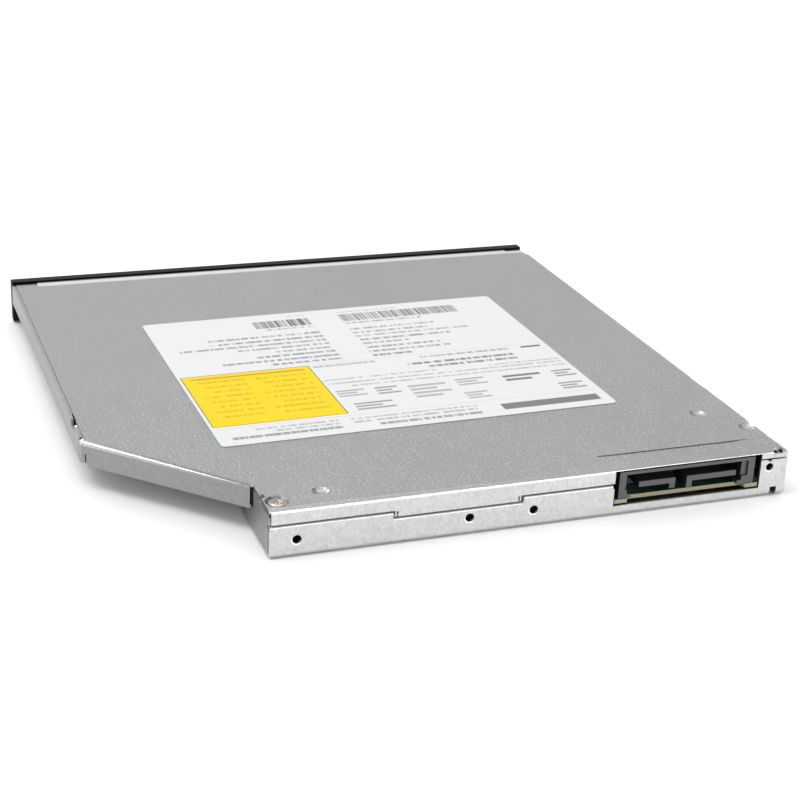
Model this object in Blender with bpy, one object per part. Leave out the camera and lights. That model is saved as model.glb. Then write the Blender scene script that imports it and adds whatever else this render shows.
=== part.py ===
"""Slim internal DVD writer, label side up, connector to the rear (+Y), tray front at -Y.

The origin is the middle of the underside of the bounding box. Lengths are metres.
"""

import math

import bmesh
import bpy
from mathutils import Matrix, Vector

MM = 0.001

# Overall body
BODY_WIDTH = 128.0 * MM
BODY_DEPTH = 126.1 * MM
BODY_HEIGHT = 9.5 * MM
BEZEL_DEPTH = 2.7 * MM
BEZEL_RISE = 0.4 * MM
BEZEL_INSET = 0.6 * MM

# Sheet metal
SHEET = 0.5 * MM
FOLD = 0.8 * MM
SEAM = 0.3 * MM
LEDGE_WIDTH = 25.7 * MM
LEDGE_HEIGHT = 5.0 * MM
CORNER_FROM_REAR = 10.6 * MM
CORNER_RETURN = 1.75 * MM

# Rear wall
REAR_SEAM_DROP = 2.9 * MM
REAR_TAB_DROP = 4.05 * MM
SIDE_SEAM_DROP = 1.5 * MM
WINDOW_WIDTH = 30.8 * MM
WINDOW_FROM_SIDE = 5.7 * MM
WINDOW_SILL = 2.0 * MM
REAR_HOLE_HEIGHT = 3.4 * MM
REAR_HOLE_RADIUS = 0.85 * MM
REAR_HOLE_PLACES = (5.0 * MM, 37.2 * MM, 49.7 * MM)
TAB_PLACE = 22.9 * MM
TAB_WIDTH = 24.4 * MM
TAB_SLIT = 0.35 * MM

# Cover details
COVER_SETBACK = 0.5 * MM
LIP_DEPTH = 2.6 * MM
LIP_RISE = 0.22 * MM
LIP_END = 5.6 * MM
STRIP_DEPTH = 6.1 * MM
STRIP_DROP = 0.12 * MM
STRIP_REAR_DROP = 0.27 * MM
STRIP_RAMP = 4.0 * MM
DISH_RADIUS = 2.2 * MM
DISH_DEPTH = 0.75 * MM
SCREW_HEAD_RADIUS = 1.6 * MM
SCREW_HEAD_HEIGHT = 0.42 * MM
SCREW_SHANK_RADIUS = 0.8 * MM
SCREW_FROM_REAR = 3.3 * MM
DIMPLE_RADIUS = 1.6 * MM
DIMPLE_DEPTH = 0.37 * MM
LABEL_WIDTH = 81.7 * MM
LABEL_DEPTH = 65.6 * MM
LABEL_THICKNESS = 0.12 * MM
LABEL_CENTRE = (-0.5 * MM, 60.6 * MM)
LABEL_TURN = math.radians(1.0)
GLUE = 0.05 * MM

# Disc and tray
DISC_RADIUS = 60.0 * MM
SMALL_DISC_RADIUS = 40.0 * MM
DISC_CLEARANCE = 0.6 * MM
DISC_DROP = 2.7 * MM
RECESS_DROP = 0.6 * MM
SMALL_RECESS_DEPTH = 0.4 * MM
TRAY_PLATE = 0.9 * MM
TRAY_TOP_GAP = 0.6 * MM
TRAY_SIDE_GAP = 4.0 * MM
TRAY_WALL = 1.2 * MM
SKIRT_BOTTOM = 1.9 * MM
HUB_FROM_FRONT = 62.0 * MM
SHIELD_HEIGHT = 1.3 * MM
SHIELD_SHEET = 0.3 * MM
CLEARANCE = 0.3 * MM

# Slides
SLIDE_START = 1.5 * MM
RAIL_END = 0.5 * MM
GUIDE_END = 2.5 * MM
SLIDE_LOW = 2.6 * MM
SLIDE_HIGH = 6.4 * MM
LIP_SHEET = 0.4 * MM

# Mechanism, in the frame of the traverse: x runs outward along the pickup's path
TRAVERSE_TURN = math.radians(225.0)
TRAVERSE_SHEET = 0.6 * MM
TRAVERSE_DROP = 3.8 * MM
TRAVERSE_HALF = 15.5 * MM
TRAVERSE_END_RADIUS = 17.0 * MM
TRAVERSE_REACH = 7.6 * MM
SHAFT_RADIUS = 0.8 * MM
SHAFT_OFFSET = 12.0 * MM
SHAFT_DROP = 3.2 * MM
RUNNING = 0.1 * MM
SCREW_OFFSET = 17.6 * MM
LENS_INNER = 24.0 * MM
LENS_OUTER = 58.0 * MM
ROTOR_RADIUS = 10.2 * MM
TABLE_RADIUS = 12.0 * MM
HUB_RADIUS = 7.4 * MM
HUB_HEIGHT = 1.5 * MM
STATOR_RADIUS = 8.9 * MM
SPINDLE_RADIUS = 0.75 * MM
CLAW_REACH = 0.4 * MM
DAMPER_RADIUS = 2.6 * MM

# Board and connector
BOARD_SHEET = 0.8 * MM
BOARD_HEIGHT = 2.4 * MM
BOARD_DEPTH = 9.6 * MM
HOUSING_WIDTH = 28.5 * MM
HOUSING_HEIGHT = 5.35 * MM
HOUSING_DEPTH = 7.1 * MM
HOUSING_WALL = 1.7 * MM
TONGUE_THICKNESS = 1.1 * MM
TONGUE_SETBACK = 0.35 * MM
POWER_TONGUE = 7.6 * MM
SIGNAL_TONGUE = 10.5 * MM
RIBBON_WIDTH = 13.0 * MM
RIBBON_CENTRE = -4.0 * MM

# Front panel controls
BUTTON_WIDTH = 12.0 * MM
BUTTON_HEIGHT = 2.4 * MM
BUTTON_PLACE = 28.0 * MM
LENS_WINDOW = 3.0 * MM
LENS_PLACE = 14.0 * MM
PINHOLE_PLACE = 19.0 * MM
PINHOLE_RADIUS = 0.7 * MM
PINHOLE_DROP = 1.4 * MM
FRONT_BOARD_DROP = 2.45 * MM
FRONT_BOARD_SHEET = 0.6 * MM

# Latch and eject rod
POST_PLACE = (30.0 * MM, 9.55 * MM)
POST_RADIUS = 1.1 * MM
POST_HEIGHT = 4.2 * MM
ROD_PLACE = 14.0 * MM
ROD_RADIUS = 0.9 * MM
ROD_STROKE = 10.0 * MM
ROD_BOSS = 4.0 * MM

# Finishes: colour, roughness and, for metals, the metallic value
GALVANISED = ((0.40, 0.42, 0.41), 0.42, 0.9)
STEEL = ((0.62, 0.62, 0.60), 0.28, 1.0)
NICKEL = ((0.55, 0.47, 0.41), 0.3, 1.0)
BLACK_PLASTIC = ((0.012, 0.012, 0.013), 0.38)
TRAY_PLASTIC = ((0.03, 0.031, 0.033), 0.5)
CIRCUIT = ((0.012, 0.10, 0.045), 0.4)
LABEL_PAPER = ((0.86, 0.86, 0.87), 0.5)
COVER_PLATE_BLACK = ((0.02, 0.02, 0.022), 0.45, 0.3)
CLEAR_LENS = ((0.75, 0.8, 0.72), 0.15)
SWITCH_GREY = ((0.55, 0.55, 0.56), 0.4)
DAMPER_RUBBER = ((0.05, 0.05, 0.055), 0.85)
MOTOR_CAN = ((0.5, 0.5, 0.48), 0.35, 0.9)
STATOR_COPPER = ((0.45, 0.2, 0.09), 0.4, 0.8)
CLAW_PLASTIC = ((0.7, 0.7, 0.68), 0.4)
PAD_RUBBER = ((0.04, 0.04, 0.045), 0.9)
CAST_ALLOY = ((0.5, 0.5, 0.51), 0.45, 0.9)
HOLDER_BLACK = ((0.02, 0.02, 0.02), 0.5)
LENS_GLASS = ((0.25, 0.3, 0.5), 0.05)
NUT_PLASTIC = ((0.6, 0.58, 0.5), 0.5)
LEVER_PLASTIC = ((0.75, 0.73, 0.66), 0.45)
COIL_WRAP = ((0.5, 0.32, 0.06), 0.5)
CONNECTOR_PLASTIC = ((0.05, 0.05, 0.055), 0.45)
SOCKET_IVORY = ((0.72, 0.68, 0.58), 0.5)
RIBBON = ((0.75, 0.75, 0.72), 0.4)
TOOL = ((0.8, 0.4, 0.1), 0.5)

# Levels and edges that follow from the sizes above
half_width = BODY_WIDTH / 2
y_rear = (BODY_DEPTH + SEAM + BEZEL_DEPTH) / 2
y_front = y_rear - BODY_DEPTH
deep_edge = half_width - LEDGE_WIDTH
ledge_level = BODY_HEIGHT - LEDGE_HEIGHT
corner_rear = y_rear - CORNER_FROM_REAR
corner_front = corner_rear - LEDGE_WIDTH
return_front = corner_front - CORNER_RETURN
cover_front = y_front + COVER_SETBACK
flange_low = ledge_level + 0.25 * MM
side_seam = BODY_HEIGHT - SIDE_SEAM_DROP
cover_inside = BODY_HEIGHT - SHEET
disc_level = BODY_HEIGHT - DISC_DROP
recess_level = disc_level - RECESS_DROP
plate_level = recess_level - TRAY_PLATE
tray_top = cover_inside - TRAY_TOP_GAP
tray_edge = half_width - TRAY_SIDE_GAP
skirt_edge = deep_edge - SHEET - CLEARANCE
hub_y = y_front + HUB_FROM_FRONT
tray_front = y_front + CLEARANCE
board_top = BOARD_HEIGHT + BOARD_SHEET
board_front = y_rear - SHEET - BOARD_DEPTH
window_far = -half_width + WINDOW_FROM_SIDE
window_near = window_far + WINDOW_WIDTH
shaft_level = disc_level - SHAFT_DROP
channel_edge = POST_PLACE[0] - POST_RADIUS - 2.2 * MM
post_y = y_front + POST_PLACE[1]
button_level = BEZEL_RISE + BODY_HEIGHT / 2
traverse_level = disc_level - TRAVERSE_DROP
traverse_far = LENS_OUTER + TRAVERSE_REACH
screw_seat = BODY_HEIGHT - DISH_DEPTH + CLEARANCE
screw_place = (deep_edge - DISH_RADIUS - 0.1 * MM, y_rear - SCREW_FROM_REAR)
slide_y = y_front + SLIDE_START
pinhole_level = button_level - PINHOLE_DROP
front_board_level = plate_level - FRONT_BOARD_DROP
front_board_edge = tray_front + TRAY_WALL + CLEARANCE
skirt_rear = board_front - 3 * CLEARANCE - SHEET
rod_level = SKIRT_BOTTOM + 1.5 * MM
rod_boss = skirt_rear - TRAY_WALL - 2 * ROD_STROKE - 6.2 * MM

# A profile drawn in (a, b) and pushed along c, laid along X or along Y
ALONG_X = Matrix(((0, 0, 1, 0), (1, 0, 0, 0), (0, 1, 0, 0), (0, 0, 0, 1)))
ALONG_Y = Matrix(((1, 0, 0, 0), (0, 0, 1, 0), (0, 1, 0, 0), (0, 0, 0, 1)))


def clear_scene():
    for thing in list(bpy.data.objects):
        bpy.data.objects.remove(thing, do_unlink=True)


def look(name, colour, roughness, metallic=0.0):
    """A plain material of one colour for one piece."""
    made = bpy.data.materials.new(name)
    made.use_nodes = True
    shader = made.node_tree.nodes["Principled BSDF"]
    shader.inputs["Base Color"].default_value = (*colour, 1.0)
    shader.inputs["Roughness"].default_value = roughness
    shader.inputs["Metallic"].default_value = metallic
    return made


def piece(name, bm, finish, at=(0.0, 0.0, 0.0), parent=None):
    """One named object out of a bmesh."""
    mesh = bpy.data.meshes.new(name)
    bm.to_mesh(mesh)
    bm.free()
    mesh.materials.append(look(name, *finish))
    mesh.shade_smooth()
    mesh.set_sharp_from_angle(angle=math.radians(32))
    made = bpy.data.objects.new(name, mesh)
    bpy.context.scene.collection.objects.link(made)
    made.location = at
    made.parent = parent
    return made


def combine(target, bm, operation="DIFFERENCE", crossing=False):
    """Cuts a hidden helper out of the target, or joins it on."""
    count = len(target.modifiers) + 1
    helper = piece(f"{target.name}_tool_{count}", bm, TOOL)
    helper.location = target.location
    helper.parent = target.parent
    helper.hide_render = True
    helper.display_type = "WIRE"
    step = target.modifiers.new(f"tool_{count}", "BOOLEAN")
    step.operation = operation
    step.object = helper
    step.use_self = crossing
    return target


def face_outward(bm, corners):
    """Turns one closed shell so that it encloses a positive volume."""
    shell = list({face for v in corners for face in v.link_faces})
    bmesh.ops.recalc_face_normals(bm, faces=shell)
    middle = corners[0].co.copy()
    volume = sum((f.verts[0].co - middle).dot(f.normal) * f.calc_area() for f in shell)
    if volume < 0:
        bmesh.ops.reverse_faces(bm, faces=shell)


def add_prism(bm, outline, low, high, turn=None):
    """Pushes a flat outline up from low to high, then turns it; gives its new vertices."""
    floor = bm.faces.new([bm.verts.new((a, b, low)) for a, b in outline])
    grown = bmesh.ops.extrude_face_region(bm, geom=[floor])["geom"]
    roof = [v for v in grown if isinstance(v, bmesh.types.BMVert)]
    bmesh.ops.translate(bm, verts=roof, vec=(0, 0, high - low))
    made = list(floor.verts) + roof
    if turn is not None:
        bmesh.ops.transform(bm, matrix=turn, verts=made)
    face_outward(bm, made)
    return made


def add_box(bm, x0, x1, y0, y1, z0, z1):
    return add_prism(bm, rectangle(x0, x1, y0, y1), z0, z1)


def add_drum(bm, radius, low, high, at=(0.0, 0.0), steps=24, turn=None):
    """A round post, its sides outside the true circle for a hole and on it for a pin."""
    ring = arc(at, radius, 0, 360 - 360 / steps, steps - 1)
    return add_prism(bm, ring, low, high, turn)


def add_lathe(bm, profile, steps=24, at=(0.0, 0.0), first=0.0):
    """Spins a profile of (radius, height) round a Z axis; ends on the axis close there."""
    before = set(bm.verts)
    across = math.cos(math.radians(first))
    along = math.sin(math.radians(first))
    points = [bm.verts.new((at[0] + r * across, at[1] + r * along, z)) for r, z in profile]
    edges = [bm.edges.new(pair) for pair in zip(points, points[1:])]
    if profile[0][0] > 0 and profile[-1][0] > 0:
        edges.append(bm.edges.new((points[-1], points[0])))
    bmesh.ops.spin(
        bm,
        geom=points + edges,
        cent=(at[0], at[1], 0),
        axis=(0, 0, 1),
        angle=math.tau,
        steps=steps,
        use_merge=True,
    )
    made = [v for v in bm.verts if v not in before]
    bmesh.ops.remove_doubles(bm, verts=made, dist=1e-7)
    face_outward(bm, [v for v in bm.verts if v not in before])


def add_loft(bm, sections):
    """Skins a run of closed sections of equal count and closes both ends."""
    rings = [[bm.verts.new(corner) for corner in section] for section in sections]
    for near, far in zip(rings, rings[1:]):
        for a, b, c, d in zip(near, near[1:] + near[:1], far[1:] + far[:1], far):
            bm.faces.new((a, b, c))
            bm.faces.new((a, c, d))
    bm.faces.new(rings[0])
    bm.faces.new(rings[-1])
    face_outward(bm, [corner for ring in rings for corner in ring])


def round_edges(bm, chosen, radius, segments=3):
    """Rounds edges; the new strips are split so that each facet is flat."""
    made = bmesh.ops.bevel(
        bm,
        geom=chosen,
        offset=radius,
        offset_type="OFFSET",
        segments=segments,
        profile=0.5,
        affect="EDGES",
    )
    bmesh.ops.triangulate(bm, faces=made["faces"])


def edges_at(bm, level, keep=lambda middle: True):
    """The level edges of a bmesh whose middle passes the test."""
    found = []
    for edge in bm.edges:
        if all(abs(v.co.z - level) < 1e-6 for v in edge.verts):
            if keep((edge.verts[0].co + edge.verts[1].co) / 2):
                found.append(edge)
    return found


def rectangle(x0, x1, y0, y1):
    return [(x0, y0), (x1, y0), (x1, y1), (x0, y1)]


def arc(centre, radius, start, end, steps):
    """Points along an arc, angles in degrees, both ends included."""
    turns = [math.radians(start + (end - start) * i / steps) for i in range(steps + 1)]
    return [(centre[0] + radius * math.cos(t), centre[1] + radius * math.sin(t)) for t in turns]


def rounded(x0, x1, y0, y1, radius, steps=4):
    """A rectangle with round corners."""
    corners = [(x1 - radius, y1 - radius), (x0 + radius, y1 - radius)]
    corners += [(x0 + radius, y0 + radius), (x1 - radius, y0 + radius)]
    outline = []
    for turn, corner in enumerate(corners):
        outline += arc(corner, radius, 90 * turn, 90 * turn + 90, steps)
    return outline


def cover_outline():
    """Counter-clockwise from the front corner on the deep side."""
    inside_ledge = half_width - SHEET - SEAM
    step = corner_rear - SEAM
    return [
        (-half_width, cover_front),
        (inside_ledge, cover_front),
        (inside_ledge, return_front),
        (half_width, return_front),
        (half_width, corner_front),
        (deep_edge + SEAM, step),
        (deep_edge + SEAM, step + 0.2 * MM),
        (deep_edge, step + 0.2 * MM),
        (deep_edge, y_rear),
        (-half_width, y_rear),
    ]


def dimple_places():
    """Pressed dimples: one by the rear screw, two near the opposite side."""
    return [
        (deep_edge - 10.7 * MM, y_rear - 5.4 * MM),
        (-half_width + 8.8 * MM, y_rear - 19.8 * MM),
        (-half_width + 2.6 * MM, y_rear - 11.4 * MM),
    ]


def top_cover():
    outline = cover_outline()
    bm = bmesh.new()
    add_prism(bm, outline, flange_low, BODY_HEIGHT)

    def folded(middle):
        beside_ledge = abs(middle.x - outline[1][0]) < 1e-6
        at_front = abs(middle.y - cover_front) < 1e-6
        over_wall = corner_rear - SEAM < middle.y < y_rear - 1e-5 and middle.x > deep_edge - 1e-6
        return not (beside_ledge or at_front or over_wall)

    round_edges(bm, edges_at(bm, BODY_HEIGHT, folded), FOLD)
    cover = piece("top_cover", bm, GALVANISED)

    inner = bmesh.new()
    add_prism(inner, inner_cover_outline(), 0, cover_inside)
    combine(cover, inner)
    combine(cover, cover_trims(), crossing=True)
    combine(cover, front_lip(), "UNION")
    combine(cover, cover_bulge(), "UNION")
    combine(cover, cover_recesses(), crossing=True)
    return cover


def inner_cover_outline():
    """The space under the cover: open at the front, beside the ledge and over the case's wall."""
    past = 3 * MM
    diagonal = half_width + corner_front - SHEET * math.sqrt(2)
    side = half_width - SHEET
    end = deep_edge + SEAM + 0.15 * MM
    return [
        (-half_width + SHEET, y_front - past),
        (half_width + past, y_front - past),
        (half_width + past, return_front),
        (side, return_front),
        (side, diagonal - side),
        (end, diagonal - end),
        (end, corner_rear + 0.5 * MM),
        (deep_edge + past, corner_rear + 0.5 * MM),
        (deep_edge + past, y_rear - SHEET),
        (-half_width + SHEET, y_rear - SHEET),
    ]


def cover_trims():
    """What is cut off the cover's flanges: seam heights, the window, slots and slits."""
    bm = bmesh.new()
    out = 1 * MM
    above = BODY_HEIGHT + out
    behind = y_rear - SHEET - 0.4 * MM
    shift = 0.0
    for x0, x1, level in rear_stretches():
        shift += 0.07 * MM
        x1 = x1 + out if x1 == deep_edge else x1 + 0.3 * MM
        if level < BODY_HEIGHT - REAR_SEAM_DROP:
            x0, x1 = x0 - 0.2 * MM, x1 + 0.2 * MM
            y0 = behind - 0.1 * MM
            for x in (x0 + 0.75 * MM, x1 - 0.75 * MM - TAB_SLIT):
                add_box(bm, x, x + TAB_SLIT, y0, y_rear + 0.9 * out, level - out, level + out)
        add_box(bm, x0, x1, behind + shift, y_rear + out, 0, level)
    add_box(bm, window_far, window_near, behind, y_rear + out, 0, cover_inside - 0.01 * MM)
    add_box(bm, -half_width - out, window_far + out, behind, y_rear + out, 0, side_seam)
    x1 = -half_width + 2 * out
    add_box(bm, -half_width - out, x1, y_front - out, y_rear + out, 0, side_seam)
    x0 = deep_edge - 0.4 * MM
    add_box(bm, x0, deep_edge + out, y_rear - SHEET - 0.2 * MM, y_rear + out, 0, cover_inside)
    x0 = deep_edge - 0.75 * MM
    add_box(bm, x0, deep_edge + out, y_rear - 6.5 * MM, y_rear - 5.3 * MM, side_seam, above)
    for place, length, depth in side_slots():
        y = y_rear - place
        add_box(bm, -half_width - out, -half_width + depth, y - length, y, 0, above)
    x = window_far - 2.6 * MM
    add_box(bm, x - 1.9 * MM, x, y_rear - 1.1 * MM, y_rear + out, cover_inside - 0.2 * MM, above)
    trim_diagonal(bm)
    return bm


def side_slots():
    """Slots in the fold of the long side: distance from the rear, length and depth."""
    sizes = ((32.0, 6.2, 0.75), (11.4, 3.0, 1.3), (5.9, 1.6, 0.7), (121.9, 5.0, 1.1))
    return [[value * MM for value in slot] for slot in sizes]


def trim_diagonal(bm):
    """A relief slit and a clipped lower corner at the front end of the diagonal flange."""
    turn = Matrix.Translation((half_width, corner_front, 0)) @ Matrix.Rotation(math.radians(135), 4, "Z")
    reach = 1.2 * MM
    add_prism(bm, rectangle(0.8 * MM, 1.1 * MM, -reach, reach), 0, flange_low + 2.3 * MM, turn)
    low = flange_low - 0.4 * MM
    corner = [(-1.0 * MM, low), (2.6 * MM, low), (2.6 * MM, flange_low)]
    corner += [(0.95 * MM, flange_low + 0.45 * MM), (-1.0 * MM, flange_low + 0.6 * MM)]
    add_prism(bm, corner, -0.9 * reach, 0.9 * reach, turn @ ALONG_Y)


def front_lip():
    """The raised lip along the front edge, ramped on its rear side."""
    bm = bmesh.new()
    top = BODY_HEIGHT + LIP_RISE
    sunk = BODY_HEIGHT - 0.2 * MM
    rear = cover_front + LIP_DEPTH
    profile = [(cover_front, sunk), (rear, sunk), (rear, BODY_HEIGHT)]
    profile += [(cover_front + 0.3 * LIP_DEPTH, top), (cover_front, top)]
    add_prism(bm, profile, -half_width + LIP_END, half_width - LIP_END, ALONG_X)
    return bm


def cover_bulge():
    """Metal pressed downward below the screw's dish."""
    bm = bmesh.new()
    sunk = cover_inside + 0.15 * MM
    under = BODY_HEIGHT - DISH_DEPTH - 0.35 * MM
    bore = SCREW_SHANK_RADIUS
    rim = DISH_RADIUS + 0.05 * MM
    profile = [(bore, sunk), (rim, sunk), (rim, cover_inside - 0.1 * MM)]
    profile += [(SCREW_HEAD_RADIUS + 0.2 * MM, under), (bore, under)]
    add_lathe(bm, profile, 24, screw_place)
    return bm


def cover_recesses():
    """Hollows pressed in from above: screw dish and hole, dimples, strip over the connector."""
    bm = bmesh.new()
    above = BODY_HEIGHT + 1 * MM
    floor = BODY_HEIGHT - DISH_DEPTH
    hole = SCREW_SHANK_RADIUS + CLEARANCE
    dish = [(0, above), (DISH_RADIUS, above), (DISH_RADIUS, BODY_HEIGHT - 0.02 * MM)]
    dish += [(SCREW_HEAD_RADIUS + 0.1 * MM, floor), (hole, floor)]
    dish += [(hole, floor - 1 * MM), (0, floor - 1 * MM)]
    add_lathe(bm, dish, 24, screw_place, 7.5)
    for place in dimple_places():
        bowl = [(0, above), (DIMPLE_RADIUS, above), (DIMPLE_RADIUS, BODY_HEIGHT - 0.02 * MM)]
        bowl += [(0.55 * DIMPLE_RADIUS, BODY_HEIGHT - 0.9 * DIMPLE_DEPTH), (0, BODY_HEIGHT - DIMPLE_DEPTH)]
        add_lathe(bm, bowl, 16, place)
    add_loft(bm, strip_sections(above))
    return bm


def strip_sections(above):
    """The strip pressed down over the connector; it runs out level at both ends."""
    y0 = y_rear - STRIP_DEPTH
    y1 = y_rear + 1 * MM
    start = window_far - 0.5 * MM
    end = window_near + 1.0 * MM
    shallow = BODY_HEIGHT + 0.02 * MM
    sections = []
    for x, front, rear in (
        (start, shallow, shallow),
        (start + STRIP_RAMP, BODY_HEIGHT - STRIP_DROP, BODY_HEIGHT - STRIP_REAR_DROP),
        (end - STRIP_RAMP, BODY_HEIGHT - STRIP_DROP, BODY_HEIGHT - STRIP_REAR_DROP),
        (end, BODY_HEIGHT - STRIP_DROP / 2, shallow),
    ):
        sections.append([(x, y0, front), (x, y1, rear), (x, y1, above), (x, y0, above)])
    return sections


def lower_case():
    bm = bmesh.new()
    wall_top = cover_inside - SEAM
    add_prism(bm, rectangle(-half_width, deep_edge, y_front, y_rear), 0, wall_top)
    round_edges(bm, edges_at(bm, 0, lambda m: m.y > y_front + 1e-6), FOLD)
    case = piece("lower_case", bm, GALVANISED)

    ledge = bmesh.new()
    edge = half_width
    inset = edge - 1.2 * MM
    inner = deep_edge - 0.3 * MM
    diagonal = half_width + corner_front - SEAM * math.sqrt(2) - 2 * SHEET
    end = return_front - SEAM
    outline = [(inner, y_front), (edge, y_front), (edge, end), (inset, end)]
    outline += [(inset, diagonal - inset), (inner, diagonal - inner)]
    add_prism(ledge, outline, ledge_level, wall_top)
    round_edges(ledge, edges_at(ledge, ledge_level, lambda m: m.x > edge - 1e-6), FOLD / 2)
    combine(case, ledge, "UNION")

    hollow = bmesh.new()
    above = BODY_HEIGHT + 1 * MM
    space = rectangle(-half_width + SHEET, deep_edge - SHEET, y_front - 1 * MM, y_rear - SHEET)
    add_prism(hollow, space, SHEET, above)
    round_edges(hollow, edges_at(hollow, SHEET, lambda m: m.y > y_front), FOLD - SHEET, 2)
    combine(case, hollow)
    combine(case, ledge_hollow())
    combine(case, wall_heights(), crossing=True)
    combine(case, rear_shoulders(), "UNION", crossing=True)
    combine(case, floor_fittings(), "UNION")
    combine(case, case_trims(), crossing=True)
    combine(case, standoff_bores(), crossing=True)
    combine(case, floor_presses(), crossing=True)
    return case


def ledge_hollow():
    bm = bmesh.new()
    past = 1 * MM
    inner = half_width - SHEET
    level = ledge_level + SHEET
    space = rectangle(deep_edge - SHEET - past, inner, y_front - past, corner_rear + 0.3 * MM)
    add_prism(bm, space, level, BODY_HEIGHT + past)
    return bm


def rear_stretches():
    """The seam's stretches along the rear wall: where each starts and ends, and its height."""
    tab_near = deep_edge - TAB_PLACE
    tab_far = tab_near - TAB_WIDTH
    seam = BODY_HEIGHT - REAR_SEAM_DROP
    tab = BODY_HEIGHT - REAR_TAB_DROP
    return [(tab_near, deep_edge, seam), (tab_far, tab_near, tab), (window_near, tab_far, seam)]


def wall_heights():
    """Takes the walls down to the seams, and opens the window."""
    bm = bmesh.new()
    out = 1 * MM
    above = BODY_HEIGHT + 2 * MM
    side_top = side_seam - SEAM
    behind = y_rear - SHEET - 0.9 * MM
    add_box(bm, -half_width - out, -half_width + 2 * out, y_front - out, y_rear + out, side_top, above)
    add_box(bm, -half_width - out, window_far + out, behind, y_rear + out, side_top, above)
    add_box(bm, window_far, window_near, behind, y_rear + out, WINDOW_SILL, above)
    shift = 0.0
    for x0, x1, level in rear_stretches():
        shift += 0.07 * MM
        x0 = x0 if x0 == window_near else x0 - 0.2 * MM
        add_box(bm, x0, x1 + 0.4 * MM, behind + shift, y_rear + out, level - SEAM - 0.75 * MM, above)
    return bm


def rear_shoulders():
    """Where the rear wall steps in behind the cover's flange, one stretch for each seam height."""
    bm = bmesh.new()
    inward = SHEET + SEAM
    radius = 0.4 * MM
    for x0, x1, seam in rear_stretches():
        level = seam - SEAM
        if seam < BODY_HEIGHT - REAR_SEAM_DROP:
            x0, x1 = x0 - SEAM - 0.15 * MM, x1 + SEAM + 0.15 * MM
        elif x0 > tab_middle():
            x0, x1 = x0 + SEAM, x1 - 0.1 * MM
        else:
            x0, x1 = x0 + SEAM, x1 - SEAM
        bend = arc((y_rear - radius, level - radius), radius, 0, 90, 3)
        base = level - 1.2 * MM
        inner = y_rear - inward
        top = seam + 1.1 * MM
        profile = [(y_rear - SHEET, base), (y_rear, base)] + bend
        profile += [(inner, level), (inner, top), (inner - SHEET, top), (inner - SHEET, level - 0.5 * MM)]
        add_prism(bm, profile, x0, x1, ALONG_X)
    return bm


def tab_middle():
    return deep_edge - TAB_PLACE - TAB_WIDTH / 2


def board_screw_places():
    far = (-half_width + 3.6 * MM, board_front + 3.6 * MM)
    return [far, (ROD_PLACE - 2.0 * MM, board_front + 4.0 * MM)]


def floor_fittings():
    """Standoffs for the board and the cover's screw, the tab behind the eject rod, the ledge's wall top."""
    bm = bmesh.new()
    sunk = SHEET / 2
    for place in board_screw_places():
        add_drum(bm, 1.7 * MM, sunk, BOARD_HEIGHT - CLEARANCE, place, 16)
    under = BODY_HEIGHT - DISH_DEPTH - 0.35 * MM
    add_drum(bm, 1.35 * MM, sunk, under - CLEARANCE, screw_place, 16)
    tab = board_front - CLEARANCE
    add_box(bm, ROD_PLACE - 3 * MM, ROD_PLACE + 3 * MM, tab - SHEET, tab, sunk, 4.4 * MM)
    x0 = half_width - SHEET
    top = BODY_HEIGHT - 0.1 * MM
    add_box(bm, x0, half_width, y_front, return_front - SEAM, cover_inside - 2 * SEAM, top)
    return bm


def case_trims():
    """The rear corner's slit, holes and notches."""
    bm = bmesh.new()
    out = 1 * MM
    above = BODY_HEIGHT + 2 * MM
    x0 = deep_edge - SHEET - 0.2 * MM
    slit = y_rear - SHEET + 0.05 * MM
    add_box(bm, x0, deep_edge + out, slit - 0.3 * MM, slit, FOLD + 0.2 * MM, above)
    behind = y_rear - 2 * out
    for place in REAR_HOLE_PLACES:
        hole = (deep_edge - place, REAR_HOLE_HEIGHT)
        add_drum(bm, REAR_HOLE_RADIUS, behind, y_rear + out, hole, 16, ALONG_Y)
    x = window_far - 1.9 * MM
    side_top = side_seam - SEAM
    add_drum(bm, 0.8 * MM, behind, y_rear + out, (x, side_top - 1.5 * MM), 12, ALONG_Y)
    add_drum(bm, 0.45 * MM, behind, y_rear + out, (x, side_top + 0.05 * MM), 8, ALONG_Y)
    add_box(bm, x - 2.1 * MM, x - 0.7 * MM, behind, y_rear + out, -out, 1.9 * MM)
    y = y_rear - 17.0 * MM
    add_box(bm, deep_edge - 2 * out, deep_edge + out, y, y + 0.8 * MM, 1.2 * MM, 2.6 * MM)
    slot = corner_front - 10.6 * MM
    notch = cover_inside - SEAM - 0.5 * MM
    add_box(bm, half_width - 2 * out, half_width + out, slot, slot + 3.8 * MM, notch, above)
    return bm


def standoff_bores():
    bm = bmesh.new()
    for place in board_screw_places() + [screw_place]:
        add_drum(bm, SCREW_SHANK_RADIUS + RUNNING, SHEET + 0.15 * MM, BODY_HEIGHT, place, 12)
    x, y = screw_place
    reach = DISH_RADIUS + CLEARANCE
    low = BODY_HEIGHT - DISH_DEPTH - 0.35 * MM - CLEARANCE
    add_box(bm, x + 1.5 * MM, x + 3 * MM, y - reach, y + reach, low, BODY_HEIGHT)
    return bm


def floor_presses():
    """Shallow pressed forms in the underside: a ring below the spindle and three ribs."""
    bm = bmesh.new()
    low = -1 * MM
    deep = 0.2 * MM
    ring = [(16 * MM, low), (18 * MM, low), (18 * MM, deep), (16 * MM, deep)]
    add_lathe(bm, ring, 40, (0, hub_y))
    for x in (-46 * MM, -34 * MM, 26 * MM):
        rib = rounded(x - 1.5 * MM, x + 1.5 * MM, hub_y - 34 * MM, hub_y + 34 * MM, 1.4 * MM, 3)
        add_prism(bm, rib, low, deep)
    return bm


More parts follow.
